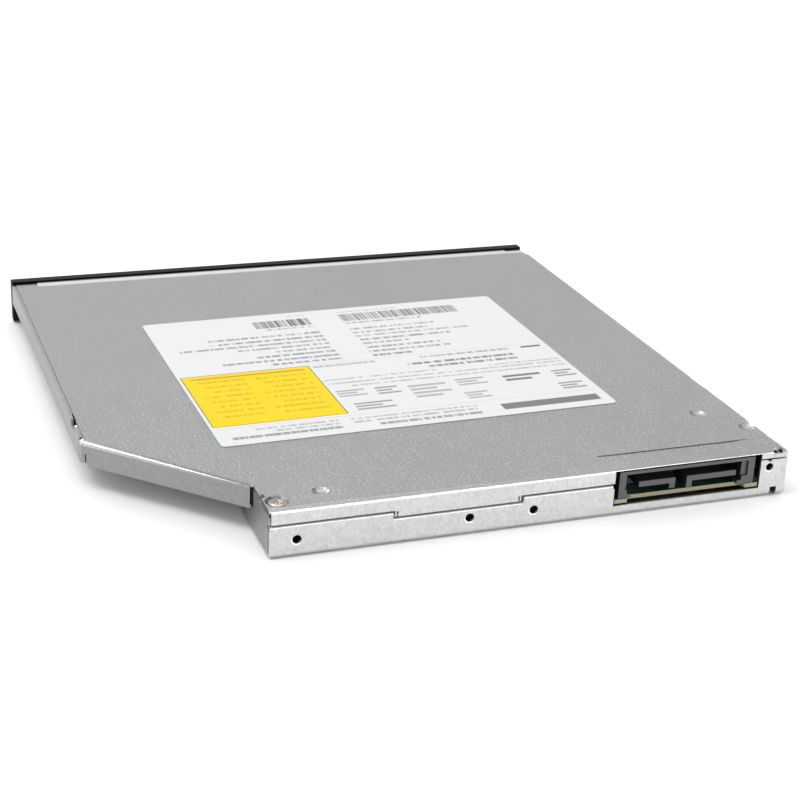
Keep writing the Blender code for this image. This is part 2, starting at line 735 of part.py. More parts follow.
def paper_label():
    bm = bmesh.new()
    wide = LABEL_WIDTH / 2
    deep = LABEL_DEPTH / 2
    low = BODY_HEIGHT + GLUE
    place = Matrix.Translation((LABEL_CENTRE[0], y_rear - LABEL_CENTRE[1], 0))
    place = place @ Matrix.Rotation(LABEL_TURN, 4, "Z")
    add_prism(bm, rounded(-wide, wide, -deep, deep, 1.5 * MM), low, low + LABEL_THICKNESS, place)
    return piece("label", bm, LABEL_PAPER)


def cross_drive(bm, top, reach, depth):
    """The cross slot of a screw's head."""
    half = 0.25 * MM
    high = top + 1 * MM
    add_box(bm, -reach, reach, -half, half, top - depth, high)
    add_box(bm, -half, half, -reach, reach, top - depth, high)


def screw(name, at, low, height, radius, tip):
    """A small machine screw, its head domed and cross-slotted."""
    bm = bmesh.new()
    shank = SCREW_SHANK_RADIUS - RUNNING
    profile = [(0, tip), (shank, tip), (shank, low), (0.8 * radius, low), (radius, low + 0.35 * height)]
    profile += [(radius, low + 0.6 * height), (0.75 * radius, low + 0.9 * height), (0, low + height)]
    add_lathe(bm, profile, 20)
    made = piece(name, bm, NICKEL, (*at, 0))
    slot = bmesh.new()
    cross_drive(slot, low + height, 0.6 * radius, 0.55 * height)
    return combine(made, slot, crossing=True)


def slide_levels():
    """Outer face, lower and upper level of the guides on the left and the right."""
    outer = -half_width + SHEET + CLEARANCE
    left = (outer, SLIDE_LOW, SLIDE_HIGH)
    right = (-outer, ledge_level + SHEET + CLEARANCE, cover_inside - CLEARANCE)
    return left, right


def slide_guides():
    """Fixed C-shaped guides: one on the deep side, a flatter one over the ledge."""
    left, right = slide_levels()
    made = []
    for name, side, (x, low, high), reach, end in (
        ("guide_left", 1, left, 2.3 * MM, board_front - GUIDE_END),
        ("guide_right", -1, right, 2.0 * MM, corner_front - 3.5 * MM),
    ):
        bm = bmesh.new()
        add_prism(bm, c_profile(x, side, low, high, reach), slide_y, end, ALONG_Y)
        made.append(piece(name, bm, STEEL))
    return made


def c_profile(x, side, low, high, reach):
    """A channel section that opens toward the tray."""
    t = LIP_SHEET
    web = x + side * t
    tip = x + side * reach
    profile = [(x, low), (tip, low), (tip, low + t), (web, low + t)]
    return profile + [(web, high - t), (tip, high - t), (tip, high), (x, high)]


def slide_rails():
    """The two telescoping rails, each between its guide and a runner on the tray."""
    gap = LIP_SHEET + CLEARANCE
    left, right = slide_levels()
    made = []
    for name, side, (x, low, high), end in (
        ("rail_left", 1, left, board_front - RAIL_END),
        ("rail_right", -1, right, corner_front - 5.0 * MM),
    ):
        bm = bmesh.new()
        add_prism(bm, c_profile(0, side, low + gap, high - gap, 2.0 * MM), 0, end - slide_y, ALONG_Y)
        made.append(piece(name, bm, STEEL, (x + side * gap, slide_y, 0)))
    return made


def runner_levels():
    """Middle heights of the tray's runners on the left and the right."""
    return [(low + high) / 2 for _, low, high in slide_levels()]


def tray_outline():
    slope = half_width + corner_front - (SHEET + 2 * CLEARANCE) * math.sqrt(2)
    screw_x = screw_place[0]
    inner = board_front - CLEARANCE
    rear = y_rear - 2.6 * MM
    return [
        (-tray_edge, tray_front),
        (tray_edge, tray_front),
        (tray_edge, slope - tray_edge),
        (skirt_edge - CLEARANCE, slope - skirt_edge + CLEARANCE),
        (screw_x - 4.0 * MM, y_rear - 6.0 * MM),
        (screw_x - 12.0 * MM, rear),
        (window_near + 4.0 * MM, rear),
        (window_near + 0.8 * MM, inner),
        (-tray_edge, inner),
    ]


def tray():
    bm = bmesh.new()
    add_prism(bm, tray_outline(), plate_level, tray_top)
    round_edges(bm, edges_at(bm, tray_top), 0.3 * MM, 2)
    made = piece("tray", bm, TRAY_PLASTIC)
    combine(made, tray_underside(), "UNION", crossing=True)
    combine(made, tray_runners(), "UNION")
    combine(made, tray_recess(), crossing=True)
    window = bmesh.new()
    add_prism(window, mechanism_outline(0), SKIRT_BOTTOM, tray_top, traverse_matrix())
    combine(made, window)
    combine(made, tray_front_openings(), crossing=True)
    return made


def tray_underside():
    """The deep half's walls and ribs, the damper posts and the eject rod's boss."""
    bm = bmesh.new()
    sunk = plate_level + 0.3 * MM
    rear = skirt_rear
    left = -tray_edge
    add_box(bm, left, left + TRAY_WALL, tray_front, rear, SKIRT_BOTTOM, sunk)
    add_box(bm, left, skirt_edge, tray_front, tray_front + TRAY_WALL, SKIRT_BOTTOM, sunk)
    add_box(bm, left, channel_edge, rear - TRAY_WALL, rear, SKIRT_BOTTOM, sunk)
    add_box(bm, channel_edge - TRAY_WALL, channel_edge, post_y + 16 * MM, rear, SKIRT_BOTTOM, sunk)
    for place in (24 * MM, 33 * MM, 42 * MM):
        y = hub_y + place
        add_box(bm, left, 4 * MM, y, y + 0.8 * MM, plate_level - 1.4 * MM, sunk)
    for x, y in damper_places():
        spot = traverse_matrix() @ Matrix.Translation((x, y, 0)).translation
        add_drum(bm, 0.9 * MM, SKIRT_BOTTOM + 0.3 * MM, sunk, (spot.x, spot.y), 12)
    x = ROD_PLACE
    half = 2.6 * MM
    add_box(bm, x - half, x + half, rod_boss, rod_boss + ROD_BOSS, SKIRT_BOTTOM, sunk)
    return bm


def tray_runners():
    """The tongues that slide in the rails."""
    bm = bmesh.new()
    reach = 1.7 * MM
    thick = 0.3 * MM
    left, right = runner_levels()
    root = tray_edge - 0.4 * MM
    tip = tray_edge + reach
    start = y_front + 2 * MM
    add_box(bm, -tip, -root, start, skirt_rear - 2 * MM, left - thick, left + thick)
    add_box(bm, root, tip, start, corner_front - 2 * MM, right - thick, right + thick)
    return bm


def tray_recess():
    """The two disc wells, the channel for the latch post and the bore for the eject rod."""
    bm = bmesh.new()
    above = BODY_HEIGHT + 1 * MM
    add_drum(bm, DISC_RADIUS + DISC_CLEARANCE, recess_level, above, (0, hub_y), 96)
    small = recess_level - SMALL_RECESS_DEPTH
    add_drum(bm, SMALL_DISC_RADIUS + DISC_CLEARANCE, small, above, (0, hub_y), 72)
    rear = skirt_rear
    bore = (ROD_PLACE, rod_level)
    add_drum(bm, ROD_RADIUS + 2 * RUNNING, rod_boss - 1 * MM, rear + 1 * MM, bore, 12, ALONG_Y)
    reach = LENS_OUTER + 4.2 * MM
    slot = rounded(SMALL_DISC_RADIUS, reach, -5.5 * MM, 5.5 * MM, 1.5 * MM, 3)
    add_prism(bm, slot, SKIRT_BOTTOM, above, traverse_matrix())
    return bm


def tray_front_openings():
    """Ways through the front wall for the button's stem, the light and the release pin."""
    bm = bmesh.new()
    y0 = tray_front - 1 * MM
    y1 = tray_front + TRAY_WALL + 2.4 * MM
    z = button_level
    for place, half, tall in ((BUTTON_PLACE, 2.5 * MM, 1.3 * MM), (LENS_PLACE, 1.2 * MM, 0.9 * MM)):
        add_box(bm, place - half, place + half, y0, y1, z - tall, z + tall)
    add_drum(bm, PINHOLE_RADIUS, y0, y1, (PINHOLE_PLACE, pinhole_level), 12, ALONG_Y)
    return bm


def traverse_matrix():
    """From the traverse's frame, which lies across the drive, to the drive's own."""
    return Matrix.Translation((0, hub_y, 0)) @ Matrix.Rotation(TRAVERSE_TURN, 4, "Z")


def mechanism_outline(gap):
    """The window over the traverse, or the plate that fills it less a gap."""
    x0 = -16.5 * MM + gap
    x1 = LENS_OUTER + 1.8 * MM - gap
    half = TRAVERSE_HALF - gap
    return rounded(x0, x1, -half, half, 11 * MM, 6)


def damper_places():
    return [(-13 * MM, -14 * MM), (-13 * MM, 14 * MM), (LENS_OUTER + 10 * MM, 0)]


def mechanism_cover(parent):
    """Thin black plate round the turntable, slotted for the lens."""
    bm = bmesh.new()
    low = plate_level + 0.2 * MM
    add_prism(bm, mechanism_outline(CLEARANCE), low, low + SHIELD_SHEET)
    made = piece("mechanism_cover", bm, COVER_PLATE_BLACK, parent=parent)
    cut = bmesh.new()
    add_drum(cut, TABLE_RADIUS + 1.2 * MM, low - 1 * MM, low + 1 * MM, steps=32)
    slot = rounded(8 * MM, LENS_OUTER + 8 * MM, -6.0 * MM, 6.0 * MM, 2 * MM, 3)
    add_prism(cut, slot, low - 1 * MM, low + 1 * MM)
    return combine(made, cut, crossing=True)


def tray_shield():
    """Thin sheet that closes the tray's deep half from below, with a bent-up front edge."""
    bm = bmesh.new()
    low = SHIELD_HEIGHT
    right = channel_edge
    latch_rear = post_y + 15 * MM
    left = -tray_edge + 0.5 * MM
    front = tray_front + 0.3 * MM
    rear = skirt_rear - 2.2 * MM
    outline = [(left, front), (0, front), (0, latch_rear), (right, latch_rear), (right, rear), (left, rear)]
    add_prism(bm, outline, low, low + SHIELD_SHEET)
    made = piece("tray_shield", bm, GALVANISED)
    cut = bmesh.new()
    add_drum(cut, 9 * MM, low - 1 * MM, low + 1 * MM, (0, hub_y), 28)
    for x in (-50 * MM, -40 * MM, -30 * MM):
        vent = rounded(x - 1.5 * MM, x + 1.5 * MM, hub_y + 21 * MM, hub_y + 39 * MM, 1.4 * MM, 3)
        add_prism(cut, vent, low - 1 * MM, low + 1 * MM)
    return combine(made, cut)


def front_bezel():
    y0 = y_front - SEAM
    y1 = y0 - BEZEL_DEPTH
    low = BEZEL_RISE
    high = BEZEL_RISE + BODY_HEIGHT
    bm = bmesh.new()
    crown = 0.35 * MM
    profile = [(y0, low), (y0, high), (y1 + crown, high)]
    profile += [(y1, high - 1.2 * MM), (y1, low + 1.2 * MM), (y1 + crown, low)]
    add_prism(bm, profile, -half_width + BEZEL_INSET, half_width, ALONG_X)

    def outer_end(edge):
        one, two = [v.co for v in edge.verts]
        return abs(one.x - two.x) < 1e-6 and max(one.y, two.y) < y0 - 1e-6

    round_edges(bm, [edge for edge in bm.edges if outer_end(edge)], 0.3 * MM, 2)
    made = piece("front_bezel", bm, BLACK_PLASTIC)
    cut = bmesh.new()
    wall = 1.1 * MM
    left = -half_width + BEZEL_INSET + wall
    for x0, x1 in ((left, LENS_PLACE - 4 * MM), (BUTTON_PLACE + 9 * MM, half_width - wall)):
        add_box(cut, x0, x1, y0 - 1.2 * MM, y0 + 1 * MM, low + wall, high - wall)
    gap = 0.25 * MM
    z = button_level
    cap = BUTTON_WIDTH / 2 + gap
    tall = BUTTON_HEIGHT / 2 + gap
    for place, half, rise in ((BUTTON_PLACE, cap, tall), (LENS_PLACE, LENS_WINDOW / 2, 0.6 * MM)):
        add_box(cut, place - half, place + half, y1 - 1 * MM, y0 + 1 * MM, z - rise, z + rise)
    add_drum(cut, PINHOLE_RADIUS, y1 - 1 * MM, y0 + 1 * MM, (PINHOLE_PLACE, pinhole_level), 12, ALONG_Y)
    return combine(made, cut)


def status_lens():
    """The light's clear rod, from the front board through the bezel."""
    bm = bmesh.new()
    half = LENS_WINDOW / 2 - 0.15 * MM
    y0 = y_front - SEAM - BEZEL_DEPTH + 0.2 * MM
    y1 = front_board_edge - 0.6 * MM
    x = LENS_PLACE
    z = button_level
    add_box(bm, x - half, x + half, y0, y_front - 0.1 * MM, z - 0.45 * MM, z + 0.45 * MM)
    made = piece("status_lens", bm, CLEAR_LENS)
    rod = bmesh.new()
    add_box(rod, x - 0.8 * MM, x + 0.8 * MM, y_front - 0.5 * MM, y1, z - 0.4 * MM, z + 0.4 * MM)
    return combine(made, rod, "UNION")


def front_board():
    """The strip board behind the front wall, with the status light on it."""
    bm = bmesh.new()
    y0 = front_board_edge
    z = front_board_level
    outline = rounded(LENS_PLACE - 3 * MM, skirt_edge - 1.5 * MM, y0, y0 + 4.2 * MM, 0.4 * MM, 2)
    add_prism(bm, outline, z, z + FRONT_BOARD_SHEET)
    light = bmesh.new()
    x = LENS_PLACE
    half = 0.9 * MM
    add_box(light, x - half, x + half, y0 + 0.1 * MM, y0 + 1.3 * MM, z + 0.4 * MM, z + 2.1 * MM)
    made = piece("front_board", bm, CIRCUIT)
    return combine(made, light, "UNION")


def eject_switch():
    bm = bmesh.new()
    y0 = front_board_edge + 1.0 * MM
    z = front_board_level + FRONT_BOARD_SHEET + 0.1 * MM
    x = BUTTON_PLACE
    half = 2.2 * MM
    add_box(bm, x - half, x + half, y0 + 0.7 * MM, y0 + 2.7 * MM, z, plate_level - 0.1 * MM)
    made = piece("eject_switch", bm, SWITCH_GREY)
    tip = bmesh.new()
    add_drum(tip, 0.55 * MM, y0, y0 + 1 * MM, (x, switch_level()), 12, ALONG_Y)
    return combine(made, tip, "UNION")


def switch_level():
    """Middle height of the switch between the front board and the tray's plate."""
    return (front_board_level + FRONT_BOARD_SHEET + 0.1 * MM + plate_level) / 2


def eject_button():
    """The cap in the bezel, its flange behind and the stem that reaches the switch."""
    bm = bmesh.new()
    half = BUTTON_WIDTH / 2
    tall = BUTTON_HEIGHT / 2
    face = -BEZEL_DEPTH - SEAM
    add_box(bm, -half, half, face, -1.2 * MM, -tall, tall)
    front = [e for e in bm.edges if all(abs(v.co.y - face) < 1e-6 for v in e.verts)]
    round_edges(bm, front, 0.3 * MM, 2)
    z = button_level
    made = piece("eject_button", bm, BLACK_PLASTIC, (BUTTON_PLACE, y_front, z))
    stem = bmesh.new()
    reach = front_board_edge + 1.0 * MM - y_front - 0.8 * MM
    level = switch_level() - z
    add_box(stem, -0.9 * MM, 0.9 * MM, -1.6 * MM, reach, level - 0.5 * MM, level + 0.5 * MM)
    return combine(made, stem, "UNION")


def traverse_plate(parent):
    """Pressed base plate with a round hub end, damper ears, shaft seats and screw bearings."""
    low = traverse_level
    high = low + TRAVERSE_SHEET
    far = traverse_far
    bm = bmesh.new()
    meet = 180 - math.degrees(math.asin(TRAVERSE_HALF / TRAVERSE_END_RADIUS))
    end = arc((0, 0), TRAVERSE_END_RADIUS, meet, 360 - meet, 14)
    outline = [(far, -TRAVERSE_HALF), (far, TRAVERSE_HALF)] + end[1:-1]
    add_prism(bm, outline, low, high)
    made = piece("traverse_plate", bm, STEEL, parent=parent)
    ears = bmesh.new()
    for x, y in damper_places():
        add_drum(ears, 3.4 * MM, low, high, (x, y), 20)
    combine(made, ears, "UNION")
    combine(made, shaft_seats(far), "UNION")
    combine(made, traverse_cuts(low, far), crossing=True)
    return made


def shaft_seats(far):
    """Seats at both ends of the two shafts."""
    bm = bmesh.new()
    low = shaft_level - 1.3 * MM
    for side in (-1, 1):
        y = side * SHAFT_OFFSET
        for x in (12.6 * MM, far - 2.4 * MM):
            add_box(bm, x, x + 2.1 * MM, y - 1.9 * MM, y + 1.9 * MM, low, low + 2.5 * MM)
    return bm


def screw_bearing_places():
    return [LENS_INNER - 5.0 * MM, LENS_OUTER + 4.3 * MM]


def traverse_cuts(low, far):
    bm = bmesh.new()
    add_drum(bm, 8.0 * MM, 0, disc_level, steps=32)
    start = LENS_INNER - 8 * MM
    half = TRAVERSE_HALF - 1.3 * MM
    waist = SHAFT_OFFSET - 2.4 * MM
    slot = [(start, -half), (far - 3.2 * MM, -half), (far - 3.2 * MM, -waist), (far - 1.2 * MM, -waist)]
    slot += [(far - 1.2 * MM, waist), (far - 3.2 * MM, waist), (far - 3.2 * MM, half), (start, half)]
    add_prism(bm, slot, 0, low + 3 * MM)
    for x, y in damper_places():
        add_drum(bm, 1.9 * MM, 0, disc_level, (x, y), 16)
    for side in (-1, 1):
        hole = (side * SHAFT_OFFSET, shaft_level)
        add_drum(bm, SHAFT_RADIUS + RUNNING, 12.9 * MM, far - 0.6 * MM, hole, 16, ALONG_X)
    return bm


def rubber_damper(index, at, parent):
    """A grooved rubber bush between a post of the tray and an ear of the plate."""
    low = traverse_level
    high = low + TRAVERSE_SHEET
    gap = 0.15 * MM
    bore = 1.05 * MM
    neck = 1.75 * MM
    rim = DAMPER_RADIUS
    profile = [(bore, low - 0.7 * MM), (rim, low - 0.7 * MM), (rim, low - gap), (neck, low - gap)]
    profile += [(neck, high + gap), (rim, high + gap), (rim, high + 0.8 * MM), (bore, high + 0.8 * MM)]
    bm = bmesh.new()
    add_lathe(bm, profile, 16)
    return piece(f"damper_{index}", bm, DAMPER_RUBBER, (*at, 0), parent)


def guide_shaft(name, side, parent):
    bm = bmesh.new()
    start = 13.1 * MM
    end = traverse_far - 0.8 * MM
    add_drum(bm, SHAFT_RADIUS, start, end, (0, 0), 16, ALONG_X)
    return piece(name, bm, STEEL, (0, side * SHAFT_OFFSET, shaft_level), parent)


def sled_motor(parent):
    """Flat stepper motor that turns the lead screw, with the bracket that also holds its far end."""
    bm = bmesh.new()
    start, end = screw_bearing_places()
    z = shaft_level
    half = 1.6 * MM
    middle = -SCREW_OFFSET
    outline = rounded(middle - 2.5 * MM, middle + 1.8 * MM, z - half, z + 0.8 * half, 0.9 * MM, 3)
    add_prism(bm, outline, start - 9.5 * MM, start, ALONG_X)
    made = piece("sled_motor", bm, MOTOR_CAN, parent=parent)
    frame = bmesh.new()
    y0 = middle - 1.7 * MM
    y1 = middle + 1.2 * MM
    add_box(frame, start - 0.3 * MM, end + 0.8 * MM, y0, y1, z - 1.5 * MM, z - 1.1 * MM)
    for x in (start + 6 * MM, end - 12 * MM):
        add_box(frame, x, x + 6 * MM, y0 + 1 * MM, middle + 3.0 * MM, z - 1.5 * MM, z - 1.1 * MM)
    for x in (start - 0.3 * MM, end):
        add_box(frame, x, x + 0.8 * MM, y0, y1, z - 1.3 * MM, z + 1.0 * MM)
    combine(made, frame, "UNION", crossing=True)
    bore = bmesh.new()
    add_drum(bore, 0.8 * MM + RUNNING, start - 2 * MM, end + 0.4 * MM, (middle, z), 16, ALONG_X)
    return combine(made, bore)


def lead_screw(parent):
    bm = bmesh.new()
    start, end = screw_bearing_places()
    add_drum(bm, 0.8 * MM, start - 1.7 * MM, end + 0.2 * MM, (0, 0), 16, ALONG_X)
    return piece("lead_screw", bm, STEEL, (0, -SCREW_OFFSET, shaft_level), parent)


def spindle_stator(parent):
    """The motor's fixed part: flange under the plate, neck through it, wound core above it."""
    bm = bmesh.new()
    plate = traverse_level
    top = plate + TRAVERSE_SHEET
    bore = SPINDLE_RADIUS + RUNNING
    flange = 12.6 * MM
    neck = 7.5 * MM
    boss = 1.8 * MM
    profile = [(bore, plate - 0.8 * MM), (flange, plate - 0.8 * MM), (flange, plate - CLEARANCE)]
    profile += [(neck, plate - CLEARANCE), (neck, top + CLEARANCE), (STATOR_RADIUS, top + CLEARANCE)]
    profile += [(STATOR_RADIUS, top + 1.2 * MM), (boss, top + 1.2 * MM)]
    profile += [(boss, top + 1.35 * MM), (bore, top + 1.35 * MM)]
    add_lathe(bm, profile, 32)
    return piece("spindle_stator", bm, STATOR_COPPER, parent=parent)


def spindle_rotor(parent):
    bm = bmesh.new()
    top = traverse_level + TRAVERSE_SHEET
    roof = disc_level - 1.2 * MM
    rim = ROTOR_RADIUS
    inner = rim - 0.6 * MM
    foot = traverse_level - 0.6 * MM
    profile = [(0, roof), (rim - 0.4 * MM, roof), (rim, roof - 0.4 * MM), (rim, top + CLEARANCE)]
    profile += [(inner, top + CLEARANCE), (inner, roof - 0.35 * MM), (SPINDLE_RADIUS, roof - 0.35 * MM)]
    profile += [(SPINDLE_RADIUS, foot), (0, foot)]
    add_lathe(bm, profile, 32)
    return piece("spindle_rotor", bm, STEEL, parent=parent)


def hub_levels():
    table = disc_level - 0.85 * MM
    seat = disc_level - 0.35 * MM
    return table, seat, disc_level + HUB_HEIGHT


def turntable_hub(parent):
    """Disc table with the raised boss that centres the disc, slotted for three claws."""
    table, seat, top = hub_levels()
    bm = bmesh.new()
    profile = [(0, table), (TABLE_RADIUS, table), (TABLE_RADIUS, seat), (HUB_RADIUS, seat)]
    profile += [(HUB_RADIUS, top - 0.5 * MM), (HUB_RADIUS - 0.5 * MM, top), (0, top)]
    add_lathe(bm, profile, 40)
    made = piece("turntable_hub", bm, TRAY_PLASTIC, parent=parent)
    slots = bmesh.new()
    for turn in range(3):
        spin = Matrix.Rotation(math.tau * turn / 3, 4, "Z")
        outline = rectangle(3.2 * MM, HUB_RADIUS + 1 * MM, -1.3 * MM, 1.3 * MM)
        add_prism(slots, outline, disc_level + 0.15 * MM, top - 0.35 * MM, spin)
    return combine(made, slots)


def hub_claw(index, parent):
    """A sprung claw that snaps over the rim of the disc's hole."""
    bm = bmesh.new()
    low = disc_level + 0.35 * MM
    nose = HUB_RADIUS + CLAW_REACH
    root = 4.1 * MM
    profile = [(root, low), (nose - 0.5 * MM, low), (nose, low + 0.3 * MM)]
    profile += [(nose - 0.3 * MM, low + 0.6 * MM), (root, low + 0.6 * MM)]
    spin = Matrix.Rotation(math.tau * (index - 1) / 3, 4, "Z")
    add_prism(bm, profile, -1.0 * MM, 1.0 * MM, spin @ ALONG_Y)
    return piece(f"hub_claw_{index}", bm, CLAW_PLASTIC, parent=parent)


def turntable_pad(parent):
    bm = bmesh.new()
    seat = hub_levels()[1] + GLUE
    inner = 9 * MM
    outer = TABLE_RADIUS - 0.2 * MM
    add_lathe(bm, [(inner, seat), (outer, seat), (outer, disc_level), (inner, disc_level)], 40)
    return piece("turntable_pad", bm, PAD_RUBBER, parent=parent)


def pickup_sled(parent):
    """Cast carriage on the two shafts, waisted, with the pocket for the lens actuator."""
    bm = bmesh.new()
    low = shaft_level - 1.35 * MM
    top = plate_level - 0.35 * MM
    half = SHAFT_OFFSET + 1.4 * MM
    waist = SHAFT_OFFSET - 4.6 * MM
    step = waist + 2 * MM
    lug = 4.0 * MM
    nose = 6.0 * MM
    tail = -5.0 * MM
    outline = [(-lug, -half), (lug, -half), (lug, -step), (nose, -waist), (nose, waist), (lug, step)]
    outline += [(lug, half), (-lug, half), (-lug, step), (tail, waist), (tail, -waist), (-lug, -step)]
    add_prism(bm, outline, low, top)
    round_edges(bm, edges_at(bm, top), 0.3 * MM, 1)
    made = piece("pickup_sled", bm, CAST_ALLOY, (LENS_INNER, 0, 0), parent)
    cut = bmesh.new()
    add_box(cut, -4.0 * MM, 4.0 * MM, -5.8 * MM, 5.8 * MM, low + 0.3 * MM, top + 1 * MM)
    for side in (-1, 1):
        hole = (side * SHAFT_OFFSET, shaft_level)
        add_drum(cut, SHAFT_RADIUS + RUNNING, -9 * MM, 9 * MM, hole, 16, ALONG_X)
    return combine(made, cut)


def actuator_yoke(parent):
    """Steel yoke with an upright magnet pole on each side of the lens holder."""
    bm = bmesh.new()
    low = shaft_level - 1.35 * MM + 0.3 * MM + GLUE
    top = plate_level - 0.1 * MM
    floor = low + 0.3 * MM
    wide = 5.5 * MM
    inner = 4.7 * MM
    profile = [(-wide, low), (wide, low), (wide, top), (inner, top)]
    profile += [(inner, floor), (-inner, floor), (-inner, top), (-wide, top)]
    add_prism(bm, profile, -2.6 * MM, 2.6 * MM, ALONG_X)
    return piece("actuator_yoke", bm, STEEL, (LENS_INNER, 0, 0), parent)


def lens_holder(parent):
    bm = bmesh.new()
    low = shaft_level - 0.25 * MM
    top = disc_level - 1.25 * MM
    add_prism(bm, rounded(-3 * MM, 3 * MM, -4.2 * MM, 4.2 * MM, 0.8 * MM, 2), low, top)
    made = piece("lens_holder", bm, HOLDER_BLACK, (LENS_INNER, 0, 0), parent)
    bore = bmesh.new()
    add_drum(bore, 1.75 * MM, top - 1.0 * MM, top + 1 * MM, steps=20)
    add_drum(bore, 1.2 * MM, low - 1 * MM, top, steps=16)
    return combine(made, bore, crossing=True)


def objective_lens(parent):
    bm = bmesh.new()
    seat = disc_level - 1.25 * MM - 1.0 * MM + GLUE
    rim = seat + 1.0 * MM
    dome = [(1.65 * MM * math.cos(t), rim + 0.45 * MM * math.sin(t)) for t in (0.0, 0.4, 0.8, 1.2)]
    add_lathe(bm, [(0, seat), (1.65 * MM, seat)] + dome + [(0, rim + 0.45 * MM)], 20)
    return piece("objective_lens", bm, LENS_GLASS, (LENS_INNER, 0, 0), parent)


def drive_nut(parent):
    """Follower arm from the sled that saddles the lead screw."""
    bm = bmesh.new()
    low = traverse_level + TRAVERSE_SHEET + 0.25 * MM
    top = shaft_level + 1.2 * MM
    add_box(bm, -2.5 * MM, 2.5 * MM, -SCREW_OFFSET - 0.9 * MM, -13.7 * MM, low, top)
    made = piece("drive_nut", bm, NUT_PLASTIC, (LENS_INNER - 1 * MM, 0, 0), parent)
    bore = bmesh.new()
    add_drum(bore, 0.8 * MM + RUNNING, -4 * MM, 4 * MM, (-SCREW_OFFSET, shaft_level), 16, ALONG_X)
    return combine(made, bore)


def latch_post():
    """Riveted post on the case's floor that the latch hooks on."""
    bm = bmesh.new()
    low = SHEET + GLUE
    foot = 1.7 * MM
    crown = POST_RADIUS - 0.3 * MM
    profile = [(0, low), (foot, low), (foot, low + 0.4 * MM), (POST_RADIUS, low + 0.4 * MM)]
    profile += [(POST_RADIUS, POST_HEIGHT - 0.3 * MM), (crown, POST_HEIGHT), (0, POST_HEIGHT)]
    add_lathe(bm, profile, 16)
    return piece("latch_post", bm, STEEL, (POST_PLACE[0], post_y, 0))


def latch_pivot():
    return (channel_edge - 1.4 * MM, post_y + 12.0 * MM)


def latch_lever():
    """Hooked lever on the tray, turning on its own pin."""
    x, y = latch_pivot()
    post = (POST_PLACE[0] - x, post_y - y)
    near = post[1] + POST_RADIUS + CLEARANCE
    tip = post[0] + 0.2 * MM
    bm = bmesh.new()
    head = arc((0, 0), 2.2 * MM, 20, 200, 8)
    end = near - 1.6 * MM
    arm = [(-1.2 * MM, end), (0.6 * MM, end), (0.6 * MM, near), (tip, near)]
    arm += [(tip, near + 1.3 * MM), (1.6 * MM, near + 1.8 * MM)]
    add_prism(bm, head + arm, 2.4 * MM, 3.6 * MM)
    made = piece("latch_lever", bm, LEVER_PLASTIC, (x, y, 0))
    pin = bmesh.new()
    add_drum(pin, 0.9 * MM, 1.9 * MM, plate_level - CLEARANCE, steps=12)
    return combine(made, pin, "UNION")


def eject_solenoid():
    """Wound coil on an open frame beside the latch lever."""
    x0, x1, y0, y1 = solenoid_box()
    z0 = 2.0 * MM
    z1 = plate_level - CLEARANCE
    bm = bmesh.new()
    add_prism(bm, rounded(x0, x1, y0, y1, 0.8 * MM, 2), z0, z1)
    made = piece("eject_solenoid", bm, COIL_WRAP)
    bore = bmesh.new()
    add_drum(bore, 1.0 * MM + RUNNING, x1 - 8 * MM, x1 + 1 * MM, ((y0 + y1) / 2, 3.0 * MM), 12, ALONG_X)
    add_box(bore, x0 + 1 * MM, x1 - 1 * MM, y0 - 1 * MM, y0 + 0.6 * MM, z0 - 1 * MM, z1 + 1 * MM)
    add_box(bore, x0 + 1 * MM, x1 - 1 * MM, y1 - 0.6 * MM, y1 + 1 * MM, z0 - 1 * MM, z1 + 1 * MM)
    return combine(made, bore)


def solenoid_box():
    x, y = latch_pivot()
    middle = y - 6.0 * MM
    right = x - 4.6 * MM
    return right - 13 * MM, right, middle - 3 * MM, middle + 3 * MM


def solenoid_plunger():
    """Iron core that draws the lever across, with a flat head beside the lever's arm."""
    x0, x1, y0, y1 = solenoid_box()
    bm = bmesh.new()
    reach = latch_pivot()[0] - 1.2 * MM - 0.9 * MM - x1
    add_drum(bm, 1.0 * MM, -6.0 * MM, reach, (0, 0), 12, ALONG_X)
    return piece("solenoid_plunger", bm, STEEL, (x1, (y0 + y1) / 2, 3.0 * MM))


def eject_rod():
    """Sprung rod that pushes the tray out against the tab on the case's floor."""
    tab = board_front - CLEARANCE - SHEET
    start = rod_boss - ROD_STROKE + 1.5 * MM
    collar = rod_boss + ROD_BOSS + ROD_STROKE
    bm = bmesh.new()
    tip = tab - CLEARANCE
    flange = 1.5 * MM
    end = collar + 0.8 * MM
    profile = [(0, start), (ROD_RADIUS, start), (ROD_RADIUS, collar), (flange, collar), (flange, end)]
    profile += [(ROD_RADIUS, end), (ROD_RADIUS, tip - 0.3 * MM), (ROD_RADIUS - 0.3 * MM, tip), (0, tip)]
    add_lathe(bm, profile, 12)
    bmesh.ops.rotate(bm, verts=bm.verts, cent=(0, 0, 0), matrix=Matrix.Rotation(-math.pi / 2, 3, "X"))
    return piece("eject_rod", bm, STEEL, (ROD_PLACE, 0, rod_level))


def eject_spring():
    """Helical spring on the rod, between the tray's boss and the rod's collar."""
    start = rod_boss + ROD_BOSS + CLEARANCE
    end = rod_boss + ROD_BOSS + ROD_STROKE - CLEARANCE
    wire = 0.16 * MM
    coil = 1.22 * MM
    turns = 7
    steps = 12 * turns
    rise = (end - start - 2 * wire) / steps
    sections = []
    for i in range(steps + 1):
        turn = Matrix.Rotation(math.tau * i * turns / steps, 4, "Y")
        section = arc((coil, start + wire + rise * i), wire, 0, 300, 5)
        sections.append([turn @ Vector((a, b, 0)) for a, b in section])
    bm = bmesh.new()
    add_loft(bm, sections)
    return piece("eject_spring", bm, STEEL, (ROD_PLACE, 0, rod_level))


